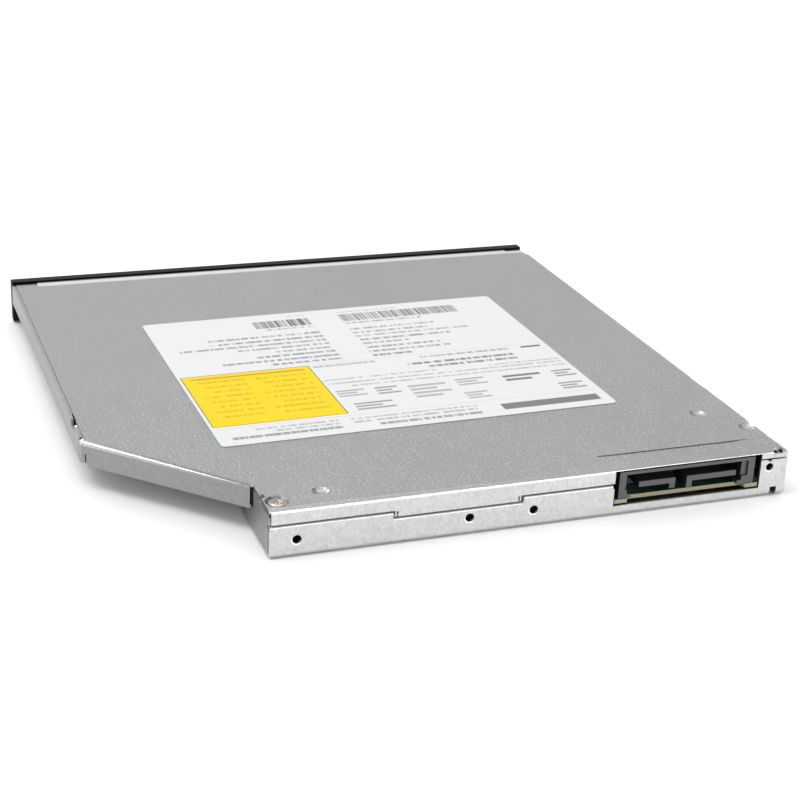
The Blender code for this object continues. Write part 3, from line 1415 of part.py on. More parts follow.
def main_board():
    """Rear circuit board, with two ears that reach into the window's corners."""
    edge = y_rear - 0.15 * MM
    recess = y_rear - 1.45 * MM
    wall = -half_width + SHEET + CLEARANCE + 0.3 * MM
    inner = y_rear - SHEET - CLEARANCE - 1.1 * MM
    right = ROD_PLACE + 6 * MM
    near = window_near - CLEARANCE
    far = window_far + CLEARANCE
    outline = [(wall, board_front), (right, board_front), (right, inner), (near, inner)]
    outline += [(near, edge), (near - 2.6 * MM, edge), (near - 3.3 * MM, recess)]
    outline += [(far + 3.1 * MM, recess), (far + 2.6 * MM, edge), (far, edge), (far, inner), (wall, inner)]
    bm = bmesh.new()
    add_prism(bm, outline, BOARD_HEIGHT, board_top)
    made = piece("main_board", bm, CIRCUIT)
    holes = bmesh.new()
    for place in board_screw_places():
        add_drum(holes, SCREW_SHANK_RADIUS + 0.15 * MM, 0, board_top + 1 * MM, place, 12)
    return combine(made, holes)


def sata_connector():
    """Moulded receptacle: a roofed housing open below, with two L-keyed tongues from its back."""
    left = window_near - 1.0 * MM
    right = left - HOUSING_WIDTH
    front = y_rear - 0.2 * MM
    back = front - HOUSING_DEPTH
    low = board_top + 0.1 * MM
    top = low + HOUSING_HEIGHT
    bm = bmesh.new()
    add_box(bm, right, left, back, front, low, top)
    made = piece("sata_connector", bm, CONNECTOR_PLASTIC)
    mouth = bmesh.new()
    roof = top - 0.65 * MM
    foot = low + 0.75 * MM
    out = front + 1 * MM
    deep = back + 1.6 * MM
    add_box(mouth, right + HOUSING_WALL + 0.9 * MM, left - HOUSING_WALL, deep, out, foot, roof)
    x0 = right + HOUSING_WALL + 1.8 * MM
    x1 = left - HOUSING_WALL - 0.9 * MM
    add_box(mouth, x0, x1, deep + 0.05 * MM, out + 0.05 * MM, low - 1 * MM, foot + 0.5 * MM)
    x0 = right + HOUSING_WALL - 0.3 * MM
    x1 = left - HOUSING_WALL + 0.4 * MM
    add_box(mouth, x0, x1, front - 0.5 * MM, out + 0.1 * MM, foot + 0.9 * MM, roof - 0.05 * MM)
    combine(made, mouth, crossing=True)
    return combine(made, connector_tongues(left, front, back, low), "UNION")


def connector_tongues(left, front, back, low):
    """The wider and the narrower tongue, each with its key leg at the end next to the other."""
    bm = bmesh.new()
    tip = front - TONGUE_SETBACK
    deep = back + 1.0 * MM
    level = low + 1.75 * MM
    top = level + TONGUE_THICKNESS
    key = 1.2 * MM
    power = left - 4.3 * MM
    end = power - POWER_TONGUE
    foot = level - 1.0 * MM
    shape = [(power, top), (end, top), (end, foot), (end + key, foot), (end + key, level), (power, level)]
    add_prism(bm, shape, deep, tip, ALONG_Y)
    signal = end - 2.4 * MM
    end = signal - SIGNAL_TONGUE
    foot = level - 1.3 * MM
    shape = [(signal, top), (end, top), (end, level)]
    shape += [(signal - key, level), (signal - key, foot), (signal, foot)]
    add_prism(bm, shape, deep, tip, ALONG_Y)
    return bm


def ribbon_socket():
    """Flat cable socket under the board, its mouth toward the front."""
    bm = bmesh.new()
    y0 = board_front + 1.0 * MM
    half = RIBBON_WIDTH / 2 + 2.5 * MM
    x = RIBBON_CENTRE
    add_box(bm, x - half, x + half, y0, y0 + 4.0 * MM, 1.2 * MM, BOARD_HEIGHT - GLUE)
    made = piece("ribbon_socket", bm, SOCKET_IVORY)
    mouth = bmesh.new()
    half = RIBBON_WIDTH / 2 + 0.5 * MM
    add_box(mouth, x - half, x + half, y0 - 1 * MM, y0 + 2.0 * MM, 1.45 * MM, 1.85 * MM)
    return combine(made, mouth)


def ribbon_cable():
    """Flat flexible cable, folded back on itself under the tray's shield."""
    bm = bmesh.new()
    thick = 0.1 * MM
    lower = SHEET + 0.15 * MM
    upper = SHIELD_HEIGHT - 0.2 * MM - thick
    socket = board_front + 1.0 * MM + 1.5 * MM
    bend_y = hub_y - 1.0 * MM
    middle = (lower + upper + thick) / 2
    outer = (upper + thick - lower) / 2
    tray_end = skirt_rear - 6 * MM
    mouth = 1.6 * MM
    path = [(socket, mouth), (socket - 3.2 * MM, mouth), (socket - 5.2 * MM, lower)]
    path += [(y, z) for y, z in arc((bend_y, middle), outer, -90, -270, 6)]
    path += [(tray_end, upper + thick), (tray_end, upper)]
    path += [(y, z) for y, z in arc((bend_y, middle), outer - thick, -270, -90, 6)]
    path += [(socket - 5.1 * MM, lower + thick)]
    path += [(socket - 3.2 * MM, mouth + thick), (socket, mouth + thick)]
    half = RIBBON_WIDTH / 2
    add_prism(bm, path, RIBBON_CENTRE - half, RIBBON_CENTRE + half, ALONG_X)
    return piece("ribbon_cable", bm, RIBBON)


def build_case():
    top_cover()
    lower_case()
    paper_label()
    tip = screw_seat - 2.7 * MM
    screw("cover_screw", screw_place, screw_seat, SCREW_HEAD_HEIGHT, SCREW_HEAD_RADIUS, tip)
    for index, at in enumerate(board_screw_places(), 1):
        screw(f"board_screw_{index}", at, board_top + 0.1 * MM, 0.9 * MM, 1.6 * MM, 0.9 * MM)
    slide_guides()
    main_board()
    sata_connector()
    ribbon_socket()
    ribbon_cable()
    latch_post()


def build_tray():
    slide_rails()
    tray()
    tray_shield()
    front_bezel()
    status_lens()
    front_board()
    eject_switch()
    eject_button()
    latch_lever()
    eject_solenoid()
    solenoid_plunger()
    eject_rod()
    eject_spring()


def build_mechanism():
    traverse = bpy.data.objects.new("traverse_frame", None)
    bpy.context.scene.collection.objects.link(traverse)
    traverse.matrix_world = traverse_matrix()
    mechanism_cover(traverse)
    traverse_plate(traverse)
    for index, at in enumerate(damper_places(), 1):
        rubber_damper(index, at, traverse)
    guide_shaft("guide_shaft_main", -1, traverse)
    guide_shaft("guide_shaft_sub", 1, traverse)
    sled_motor(traverse)
    lead_screw(traverse)
    spindle_stator(traverse)
    spindle_rotor(traverse)
    turntable_hub(traverse)
    turntable_pad(traverse)
    for index in (1, 2, 3):
        hub_claw(index, traverse)
    pickup_sled(traverse)
    actuator_yoke(traverse)
    lens_holder(traverse)
    objective_lens(traverse)
    drive_nut(traverse)


clear_scene()
build_case()
build_tray()
build_mechanism()
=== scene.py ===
import math

import bmesh
import bpy
from mathutils import Matrix, Vector


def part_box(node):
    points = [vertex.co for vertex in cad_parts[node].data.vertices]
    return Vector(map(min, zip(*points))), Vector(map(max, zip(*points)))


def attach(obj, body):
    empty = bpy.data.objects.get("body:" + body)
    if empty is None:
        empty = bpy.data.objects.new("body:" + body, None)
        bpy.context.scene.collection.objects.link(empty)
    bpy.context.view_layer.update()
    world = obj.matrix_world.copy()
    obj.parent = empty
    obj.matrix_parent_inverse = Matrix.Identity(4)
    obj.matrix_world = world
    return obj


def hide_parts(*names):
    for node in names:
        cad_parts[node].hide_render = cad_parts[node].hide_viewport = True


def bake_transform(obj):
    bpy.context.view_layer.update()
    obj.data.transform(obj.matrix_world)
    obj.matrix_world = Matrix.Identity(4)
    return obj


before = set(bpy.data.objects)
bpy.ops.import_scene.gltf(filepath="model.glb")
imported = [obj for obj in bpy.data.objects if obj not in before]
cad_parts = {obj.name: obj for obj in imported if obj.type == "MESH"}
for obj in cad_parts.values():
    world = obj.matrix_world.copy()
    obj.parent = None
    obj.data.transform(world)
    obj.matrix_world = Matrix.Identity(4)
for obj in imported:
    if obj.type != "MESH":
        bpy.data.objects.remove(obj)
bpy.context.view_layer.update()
mm = 0.001


# Shader maths: a wrapped socket, so that masks and mixes read as sums

class Signal:
    def __init__(self, nodes, socket):
        self.nodes = nodes
        self.socket = socket

    def sum(self, operation, *values):
        return self.nodes.node("ShaderNodeMath", {"operation": operation}, dict(enumerate(values)))

    def __add__(self, other):
        return self.sum("ADD", self, other)

    def __sub__(self, other):
        return self.sum("SUBTRACT", self, other)

    def __rsub__(self, other):
        return self.sum("SUBTRACT", other, self)

    def __mul__(self, other):
        return self.sum("MULTIPLY", self, other)

    def __truediv__(self, other):
        return self.sum("DIVIDE", self, other)

    def __gt__(self, other):
        return self.sum("GREATER_THAN", self, other)

    def __lt__(self, other):
        return self.sum("LESS_THAN", self, other)

    def __abs__(self):
        return self.sum("ABSOLUTE", self)

    def atLeast(self, other):
        return self.sum("MAXIMUM", self, other)

    def atMost(self, other):
        return self.sum("MINIMUM", self, other)

    def part(self):
        return self.sum("FRACT", self)

    def sine(self):
        return self.sum("SINE", self)

    def root(self):
        return self.sum("SQRT", self)

    def ramp(self, low, high):  # 0 below low, 1 above high, soft between
        settings = {"interpolation_type": "SMOOTHSTEP"}
        return self.nodes.node("ShaderNodeMapRange", settings, {"Value": self, "From Min": low, "From Max": high})


class Nodes:
    def __init__(self, tree):
        self.tree = tree

    def node(self, kind, settings, sockets, output=0):
        made = self.tree.nodes.new(kind)
        for key, value in settings.items():
            setattr(made, key, value)
        for key, value in sockets.items():
            self.feed(made.inputs[key], value)
        return Signal(self, made.outputs[output])

    def feed(self, socket, value):
        if isinstance(value, Signal):
            self.tree.links.new(value.socket, socket)
        elif socket.type == "RGBA":
            socket.default_value = (*value, 1)
        else:
            socket.default_value = value

    def axes(self, spot):
        split = self.node("ShaderNodeSeparateXYZ", {}, {0: spot})
        outputs = split.socket.node.outputs
        return [Signal(self, outputs[letter]) for letter in "XYZ"]


class Finish(Nodes):
    def __init__(self, name, colour, roughness, metallic=0.0):
        self.material = bpy.data.materials.new(name)
        self.material.use_nodes = True
        super().__init__(self.material.node_tree)
        self.shader = self.tree.nodes["Principled BSDF"]
        self.set("Base Color", colour)
        self.set("Roughness", roughness)
        self.set("Metallic", metallic)

    def set(self, name, value):
        self.feed(self.shader.inputs[name], value)

    def place(self):  # Object coordinates in millimetres
        spot = self.node("ShaderNodeTexCoord", {}, {}, "Object")
        return self.node("ShaderNodeVectorMath", {"operation": "SCALE"}, {0: spot, "Scale": 1 / mm})

    def normal(self):
        return self.axes(self.node("ShaderNodeNewGeometry", {}, {}, "Normal"))

    def stretch(self, spot, scale, turn=0.0, shift=(0, 0, 0)):
        sockets = {"Vector": spot, "Location": shift, "Rotation": (0, 0, math.radians(turn)), "Scale": scale}
        return self.node("ShaderNodeMapping", {}, sockets)

    def noise(self, spot, size, detail=2.0, rough=0.5):  # size is the width of one patch, in millimetres
        sockets = {"Vector": spot, "Scale": 1.0 / size, "Detail": detail, "Roughness": rough}
        return self.node("ShaderNodeTexNoise", {}, sockets)

    def mix(self, amount, low, high):
        return self.node("ShaderNodeMix", {"data_type": "RGBA"}, {0: amount, 6: low, 7: high}, 2)

    def bump(self, height, strength, depth):  # depth in millimetres
        sockets = {"Height": height, "Strength": strength, "Distance": depth * mm}
        self.set("Normal", self.node("ShaderNodeBump", {}, sockets))


# Finishes

galvanised = {
    "dull": (0.370, 0.383, 0.377),
    "bright": (0.80, 0.808, 0.802),
    "metallic": 0.8,
    "roughness": 0.37,
    "grain": 0.26,  # contrast of the brushed streaks
    "mottle": 0.62,  # contrast of the crystals on the folded walls
    "paintedWallLight": 0.10,  # painted light: the folded walls are a little lighter
    "sideWallShade": 0.41,  # painted shade on the walls that face across the drive
    "paintedFoldLight": (-0.22, 1.05),  # painted light on folds and pressed rims: painted shade along the rear, painted highlight added elsewhere
    "speck": 0.50,  # contrast of the pale specks
    "specksFrom": (-25.0, 25.0),  # along the depth: first specks, full strength
    "lip": (-58.9, 58.4),  # the painted highlight on the front lip ends here, along the depth and across
    "top": 9.2,
    # painted highlights on the lower rims of the rear holes: across, height, radius
    "holeRimHighlights": [(33.3, 3.4, 0.85), (1.1, 3.4, 0.85), (-11.4, 3.4, 0.85), (-60.2, 6.2, 0.8)],
    # creases pressed in the cover, painted dark with shade: nearest and farthest across, place along the depth
    "shadedCreases": [(-58.9, -26.5, 58.42)],
    "shade": -60.45,  # painted shade on the cover in front of this, down behind the bezel
}


def galvanisedSheet():
    finish = Finish("galvanisedSheet", galvanised["dull"], galvanised["roughness"], galvanised["metallic"])
    spot = finish.place()
    x, y, z = finish.axes(spot)
    facing = finish.normal()
    flat = (z - galvanised["top"]).ramp(0.0, 0.1)
    fold = facing[2].ramp(0.15, 0.45) * (1 - facing[2].ramp(0.86, 0.97))
    # painted shade on pressed slopes near the top that face -X
    pressedSlopeShade = (facing[0] * -1).ramp(0.10, 0.34) * (z - 8.7).ramp(0.0, 0.2) * (x > -62.6)
    rearFoldShade, sideFoldHighlight = galvanised["paintedFoldLight"]
    # painted highlight on folds and pressed rims that face across, painted shade on the rear folds
    foldLight = fold * ((abs(facing[0]) * 2 - facing[1]).ramp(0.25, 0.45) * sideFoldHighlight + rearFoldShade)
    # mask of the walls facing across the drive, which get painted shade
    across = abs(facing[0]).ramp(0.45, 0.62) * (1 - facing[2].ramp(0.05, 0.3))
    streaks = finish.noise(finish.stretch(spot, (2.6, 0.16, 2.6)), 1.0, 3.0, 0.6) - 0.5
    clouds = finish.noise(spot, 24.0, 3.0, 0.55) - 0.5
    crystals = finish.noise(finish.stretch(spot, (1.0, 1.0, 0.6)), 0.55, 4.0, 0.72) - 0.5
    sockets = {"Vector": spot, "Scale": 1.05, "Randomness": 0.72}
    cell = finish.node("ShaderNodeTexVoronoi", {"voronoi_dimensions": "2D"}, sockets)
    patches = finish.noise(spot, 2.6, 4.0, 0.7).ramp(0.34, 0.68) * 0.9 + 0.1
    specks = (0.28 - cell).ramp(0.0, 0.15) * patches * y.ramp(*galvanised["specksFrom"]) * flat
    lipEnd, lipSide = galvanised["lip"]
    # painted highlight on the front lip
    lip = (lipEnd - y).ramp(-0.55, 0.45) * (lipSide - x).ramp(-0.1, 0.1) * flat
    holeRimHighlights = 0.0
    for place, height, radius in galvanised["holeRimHighlights"]:
        awayX, awayZ = x - place, z - height
        reach = (awayX * awayX + awayZ * awayZ).root()
        # the painted highlight sits on the lower side of each rim
        lower = (awayX * 0.8 - awayZ * 1.6).ramp(0.1, 1.3)
        holeRimHighlights = (1 - reach.ramp(radius + 0.12, radius + 0.30)) * lower * (y > 64.3) + holeRimHighlights
    # painted shade on the cover behind the bezel and in the pressed creases
    shadedCreases = (galvanised["shade"] - y).ramp(-0.15, 0.15) * (z - 8.0).ramp(0.0, 0.2)
    for near, far, depth in galvanised["shadedCreases"]:
        shadedCreases = (1 - abs(y - depth).ramp(0.05, 0.13)) * (x > near) * (x < far) * flat + shadedCreases
    amount = streaks * galvanised["grain"] + clouds * 0.10 + specks * galvanised["speck"] + lip + holeRimHighlights * 0.9
    # crystal mottle on the walls, plus painted light that makes every wall lighter
    walls = (1 - flat) * (crystals * galvanised["mottle"] + galvanised["paintedWallLight"])
    amount = amount + foldLight + walls + crystals * 0.08 + 0.07
    tone = finish.mix(amount.atLeast(0.0).atMost(1.0), galvanised["dull"], galvanised["bright"])
    # painted shade: the walls across the drive and the pressed slopes facing -X are darkened
    tone = finish.mix(across * galvanised["sideWallShade"] + pressedSlopeShade * 0.6, tone, (0.04, 0.042, 0.041))
    # painted shade: darkened in the creases and behind the bezel
    finish.set("Base Color", finish.mix(shadedCreases * 0.85, tone, (0.02, 0.02, 0.02)))
    uneven = streaks * 0.12 + clouds * 0.06 + crystals * 0.16
    finish.set("Roughness", uneven - foldLight * 0.15 + galvanised["roughness"])
    finish.bump(streaks * 0.6 + specks * 0.6 + crystals * 0.5 - shadedCreases, 0.4, 0.012)
    return finish.material


steel = {"colour": (0.60, 0.60, 0.58), "roughness": 0.26, "threadPitch": 1.2}


def brightSteel():
    finish = Finish("brightSteel", steel["colour"], steel["roughness"], 1.0)
    spot = finish.place()
    lines = finish.noise(finish.stretch(spot, (4.0, 0.15, 4.0)), 1.0, 2.0)
    smudge = finish.noise(spot, 7.0, 3.0)
    finish.set("Base Color", finish.mix(smudge.ramp(0.35, 0.75) * 0.5, steel["colour"], (0.48, 0.48, 0.47)))
    finish.set("Roughness", (lines - 0.5) * 0.12 + (smudge - 0.5) * 0.12 + steel["roughness"])
    finish.bump(lines, 0.3, 0.008)
    return finish.material


def threadedSteel():
    finish = Finish("threadedSteel", steel["colour"], 0.24, 1.0)
    x, y, z = finish.axes(finish.place())
    along = (x + y) * math.sqrt(0.5)  # the screw lies across the drive at 45 degrees
    thread = (along * (math.tau / steel["threadPitch"])).sine() * 0.5 + 0.5
    # painted shade: darker in the thread roots
    finish.set("Base Color", finish.mix(thread, (0.16, 0.16, 0.155), (0.64, 0.64, 0.62)))
    finish.set("Roughness", (1 - thread) * 0.2 + 0.2)
    finish.bump(thread, 0.9, 0.2)
    return finish.material


def motorSteel():
    finish = Finish("motorSteel", (0.46, 0.46, 0.45), 0.34, 0.9)
    spot = finish.place()
    orange = finish.noise(spot, 0.5, 2.0)
    smudge = finish.noise(spot, 5.0, 3.0).ramp(0.3, 0.8)
    finish.set("Base Color", finish.mix(smudge, (0.48, 0.48, 0.47), (0.40, 0.40, 0.39)))
    finish.set("Roughness", (orange - 0.5) * 0.14 + 0.34)
    finish.bump(orange, 0.25, 0.02)
    return finish.material


screwNickel = {"colour": (0.60, 0.55, 0.50), "roughness": 0.24}


def nickelPlate():
    finish = Finish("nickelPlate", screwNickel["colour"], screwNickel["roughness"], 1.0)
    spot = finish.place()
    rubbed = finish.noise(spot, 0.6, 3.0)
    finish.set("Base Color", finish.mix(rubbed.ramp(0.35, 0.7), screwNickel["colour"], (0.47, 0.41, 0.36)))
    finish.set("Roughness", (rubbed - 0.5) * 0.25 + screwNickel["roughness"])
    finish.bump(rubbed, 0.2, 0.01)
    return finish.material


def castAlloy():
    finish = Finish("castAlloy", (0.5, 0.5, 0.51), 0.46, 0.85)
    spot = finish.place()
    sand = finish.noise(spot, 0.28, 3.0, 0.6)
    flow = finish.noise(spot, 3.5, 3.0)
    finish.set("Base Color", finish.mix(flow.ramp(0.3, 0.75), (0.52, 0.52, 0.53), (0.41, 0.41, 0.42)))
    finish.set("Roughness", (sand - 0.5) * 0.3 + 0.46)
    finish.bump(sand, 0.5, 0.03)
    return finish.material


def copperWinding():
    finish = Finish("copperWinding", (0.42, 0.17, 0.06), 0.32, 0.8)
    spot = finish.place()
    x, y, z = finish.axes(spot)
    turns = (z * 26.0 + finish.noise(spot, 1.0) * 2.0).sine() * 0.5 + 0.5
    # painted shade between the turns of wire
    finish.set("Base Color", finish.mix(turns, (0.22, 0.08, 0.03), (0.56, 0.24, 0.09)))
    finish.set("Roughness", (1 - turns) * 0.25 + 0.25)
    finish.bump(turns, 0.7, 0.05)
    return finish.material


def coilWrap():
    finish = Finish("coilWrap", (0.48, 0.29, 0.05), 0.42)
    spot = finish.place()
    x, y, z = finish.axes(spot)
    wraps = (x * 2.1 + y * 0.3).part().ramp(0.86, 0.98)
    shade = wraps * 0.6 + finish.noise(spot, 2.0) * 0.2
    finish.set("Base Color", finish.mix(shade, (0.52, 0.33, 0.07), (0.25, 0.14, 0.02)))
    finish.set("Roughness", wraps * 0.2 + 0.36)
    finish.bump(1 - wraps, 0.5, 0.04)
    return finish.material


def mouldedPlastic(name, colour, roughness=0.42, pebble=0.16, depth=0.012, gloss=0.5):
    finish = Finish(name, colour, roughness)
    finish.set("Specular IOR Level", gloss)
    spot = finish.place()
    pebbles = finish.noise(spot, pebble, 2.0, 0.55)
    haze = finish.noise(spot, 9.0, 3.0)
    lighter = tuple(min(1.0, c * 1.5 + 0.001) for c in colour)
    finish.set("Base Color", finish.mix(haze.ramp(0.35, 0.75) * 0.7 + pebbles * 0.2, colour, lighter))
    finish.set("Roughness", (pebbles - 0.5) * 0.2 + (haze - 0.5) * 0.12 + roughness)
    finish.bump(pebbles, 0.45, depth)
    return finish.material


connectorLook = {
    "mouth": (0.046, 0.045, 0.049),
    "deep": (0.006, 0.006, 0.007),
    "plated": (0.78, 0.55, 0.20),
    "pitch": 1.27,
    "shade": (61.6, 63.6),  # painted shade along the depth: fully shaded, fully lit
    "contacts": (57.0, 63.6, 4.2, 6.4),  # nearest and farthest along the depth, lowest and highest
}


def connectorPlastic():
    finish = Finish("connectorPlastic", connectorLook["mouth"], 0.42)
    spot = finish.place()
    x, y, z = finish.axes(spot)
    facing = finish.normal()
    under = (facing[2] * -1.0).ramp(0.6, 0.9)
    first, last, low, high = connectorLook["contacts"]
    strips = 1 - abs((x / connectorLook["pitch"]).part() - 0.5).ramp(0.20, 0.27)
    plated = strips * under * (y > first) * (y < last) * (z > low) * (z < high)
    grain = finish.noise(spot, 0.2, 2.0)
    # painted shade: faces that don't face the rear are darker, and the inside darkens deeper in
    lit = (facing[1].ramp(0.5, 0.8) * 0.75 + 0.25) * y.ramp(*connectorLook["shade"])
    body = finish.mix(lit, connectorLook["deep"], connectorLook["mouth"])
    finish.set("Base Color", finish.mix(plated, body, connectorLook["plated"]))
    finish.set("Metallic", plated)
    finish.set("Roughness", (grain - 0.5) * 0.2 - plated * 0.15 + 0.42)
    finish.bump(grain * 0.3 + plated * 0.5, 0.4, 0.02)
    return finish.material


def blackSheet():
    finish = Finish("blackSheet", (0.018, 0.018, 0.02), 0.42, 0.2)
    spot = finish.place()
    sand = finish.noise(spot, 0.22, 3.0)
    scuff = finish.noise(finish.stretch(spot, (0.25, 1.6, 1.0)), 4.0, 4.0).ramp(0.62, 0.78)
    finish.set("Base Color", finish.mix(scuff * 0.4, (0.018, 0.018, 0.02), (0.05, 0.05, 0.052)))
    finish.set("Roughness", (sand - 0.5) * 0.25 + scuff * 0.08 + 0.42)
    finish.bump(sand, 0.4, 0.02)
    return finish.material


def softRubber():
    finish = Finish("softRubber", (0.035, 0.035, 0.038), 0.82)
    spot = finish.place()
    dust = finish.noise(spot, 0.7, 4.0, 0.65)
    finish.set("Base Color", finish.mix(dust.ramp(0.5, 0.8), (0.03, 0.03, 0.033), (0.09, 0.088, 0.085)))
    finish.set("Roughness", (dust - 0.5) * 0.15 + 0.82)
    finish.bump(dust, 0.5, 0.03)
    return finish.material


boardLook = {
    "mask": (0.006, 0.042, 0.024),
    "trace": (0.010, 0.075, 0.040),
    "edge": (0.16, 0.15, 0.09),
    "window": (-59.0, -26.5),  # the board's cut edge shows pale between these, and is painted dark with shade inside the case
}


def circuitBoard():
    finish = Finish("circuitBoard", boardLook["mask"], 0.3)
    spot = finish.place()
    x, y, z = finish.axes(spot)
    jog = finish.noise(finish.stretch(spot, (0.25, 0.06, 1.0)), 1.0).ramp(0.4, 0.6) * 2.0
    traces = 1 - abs((x * 1.15 + jog).part() - 0.5).ramp(0.16, 0.22)
    weave = finish.noise(spot, 0.35, 2.0)
    tone = finish.mix(traces, boardLook["mask"], boardLook["trace"])
    rim = 1 - abs(finish.normal()[2]).ramp(0.35, 0.65)
    near, far = boardLook["window"]
    glass = finish.mix(weave * 0.6, boardLook["edge"], (0.34, 0.32, 0.23))
    # painted shade on the cut edge inside the case
    glass = finish.mix((x > near) * (x < far), (0.02, 0.02, 0.012), glass)
    finish.set("Base Color", finish.mix(rim, tone, glass))
    finish.set("Roughness", rim * 0.35 + (weave - 0.5) * 0.12 + 0.30)
    finish.bump(traces * 0.7 + weave * 0.2, 0.5, 0.03)
    return finish.material


def ribbonFilm():
    finish = Finish("ribbonFilm", (0.74, 0.75, 0.74), 0.36)
    x, y, z = finish.axes(finish.place())
    strands = x.part()
    copper = (strands > 0.3) * (strands < 0.75) * (abs(x + 4.0) < 6.0)
    finish.set("Base Color", finish.mix(copper * 0.75, (0.80, 0.81, 0.80), (0.42, 0.40, 0.37)))
    finish.set("Roughness", copper * 0.08 + 0.30)
    finish.bump(copper, 0.4, 0.03)
    return finish.material


def clearPlastic():
    finish = Finish("clearPlastic", (0.72, 0.80, 0.70), 0.12)
    ripple = finish.noise(finish.place(), 0.9, 2.0)
    finish.set("Base Color", finish.mix(ripple, (0.70, 0.78, 0.68), (0.80, 0.86, 0.78)))
    finish.set("Roughness", ripple * 0.1 + 0.08)
    return finish.material


def lensGlass():
    finish = Finish("lensGlass", (0.10, 0.13, 0.30), 0.04)
    coat = finish.noise(finish.place(), 2.2, 2.0)
    finish.set("Base Color", finish.mix(coat.ramp(0.3, 0.7), (0.07, 0.10, 0.28), (0.20, 0.13, 0.34)))
    finish.set("Roughness", coat * 0.06 + 0.02)
    finish.set("Coat Weight", 1.0)
    return finish.material


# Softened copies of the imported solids, with welded meshes and rolled edges

weld = {"distance": 2e-6, "flat": 0.6, "crease": 38.0}  # metres, degrees, degrees


def softened(node, body, material, edge, segments=2):
    mesh = bpy.data.meshes.new(node + "_soft")
    bm = bmesh.new()
    bm.from_mesh(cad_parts[node].data)
    bmesh.ops.remove_doubles(bm, verts=bm.verts, dist=weld["distance"])
    bmesh.ops.dissolve_limit(bm, angle_limit=math.radians(weld["flat"]), verts=bm.verts, edges=bm.edges)
    bm.to_mesh(mesh)
    bm.free()
    mesh.materials.clear()
    mesh.materials.append(material)
    mesh.shade_smooth()
    mesh.set_sharp_from_angle(angle=math.radians(weld["crease"]))
    made = bpy.data.objects.new(node + "_soft", mesh)
    bpy.context.scene.collection.objects.link(made)
    rolled = made.modifiers.new("rolledEdges", "BEVEL")
    rolled.width = edge * mm
    rolled.segments = segments
    rolled.limit_method = "ANGLE"
    rolled.angle_limit = math.radians(weld["crease"])
    rolled.use_clamp_overlap = True
    evened = made.modifiers.new("evenedNormals", "WEIGHTED_NORMAL")
    evened.keep_sharp = True
    evened.weight = 90
    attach(made, body)
    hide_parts(node)


def newPiece(name, bm, material, body, nodes=(), crease=34.0):
    mesh = bpy.data.meshes.new(name)
    bm.to_mesh(mesh)
    bm.free()
    mesh.materials.append(material)
    mesh.shade_smooth()
    mesh.set_sharp_from_angle(angle=math.radians(crease))
    made = bpy.data.objects.new(name, mesh)
    bpy.context.scene.collection.objects.link(made)
    if isinstance(body, str):
        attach(made, body)
    else:
        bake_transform(made)
    if nodes:
        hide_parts(*nodes)


def lengthen(bm, face, way):
    grown = bmesh.ops.extrude_face_region(bm, geom=[face])["geom"]
    bmesh.ops.translate(bm, verts=[v for v in grown if isinstance(v, bmesh.types.BMVert)], vec=way)


def paint(material, *nodes):
    for node in nodes:
        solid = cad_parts[node]
        for spot in solid.material_slots:
            spot.material = material
        if not solid.material_slots:
            raise RuntimeError(node + " has no material slot")


# Bead under the long seam beside the cover, so that the seam reads as a shallow crease

seam = {"across": 63.36, "runs": [(-60.9, 15.2), (20.4, 26.2)], "top": 9.33, "radius": 0.5}


def seamBacking():
    bm = bmesh.new()
    arc = [math.radians(20 + 140 * step / 8) for step in range(9)]
    radius, lowest = seam["radius"], seam["top"] - seam["radius"]
    rounds = [(seam["across"] + radius * math.cos(a), lowest + radius * math.sin(a)) for a in arc]
    for start, end in seam["runs"]:
        profile = bm.faces.new([bm.verts.new((a * mm, start * mm, b * mm)) for a, b in rounds])
        lengthen(bm, profile, (0, (end - start) * mm, 0))
    bmesh.ops.recalc_face_normals(bm, faces=bm.faces)
    newPiece("seamBead", bm, sheetMetal, "chassis")


# Flat cable from the board's socket, folded back on itself

ribbon = {
    "across": (-10.5, 2.5),
    "thick": 0.1,
    "levels": (0.70, 1.05),  # middle of the lower run, middle of the upper run
    "bend": -0.55,
    "split": 50.0,
    "socket": 56.95,
    "mouth": 1.65,
    "drawerEnd": 47.05,
    "ramp": (53.9, 53.3, 52.4, 51.8),  # the tail comes down from the socket between these
    "margin": 0.07,  # the blend starts and ends this far inside the two runs
}


def cableStrip(name, line, material, body):
    half = ribbon["thick"] / 2
    sides = []
    for side in (half, -half):
        points = []
        for index, point in enumerate(line):
            before = Vector(line[max(index - 1, 0)])
            after = Vector(line[min(index + 1, len(line) - 1)])
            run = (after - before).normalized()
            points.append(Vector(point) + Vector((-run.y, run.x)) * side)
        sides.append(points)
    low, high = ribbon["across"]
    bm = bmesh.new()
    left = [bm.verts.new((low * mm, p.x * mm, p.y * mm)) for p in sides[0] + sides[1][::-1]]
    right = [bm.verts.new((high * mm, p.x * mm, p.y * mm)) for p in sides[0] + sides[1][::-1]]
    count = len(left)
    for index in range(count):
        bm.faces.new((left[index], left[(index + 1) % count], right[(index + 1) % count], right[index]))
    for ends in (left, right):
        for index in range(len(line) - 1):
            bm.faces.new((ends[index], ends[index + 1], ends[count - 2 - index], ends[count - 1 - index]))
    bmesh.ops.recalc_face_normals(bm, faces=bm.faces)
    newPiece(name, bm, material, body, ["ribbon_cable"])


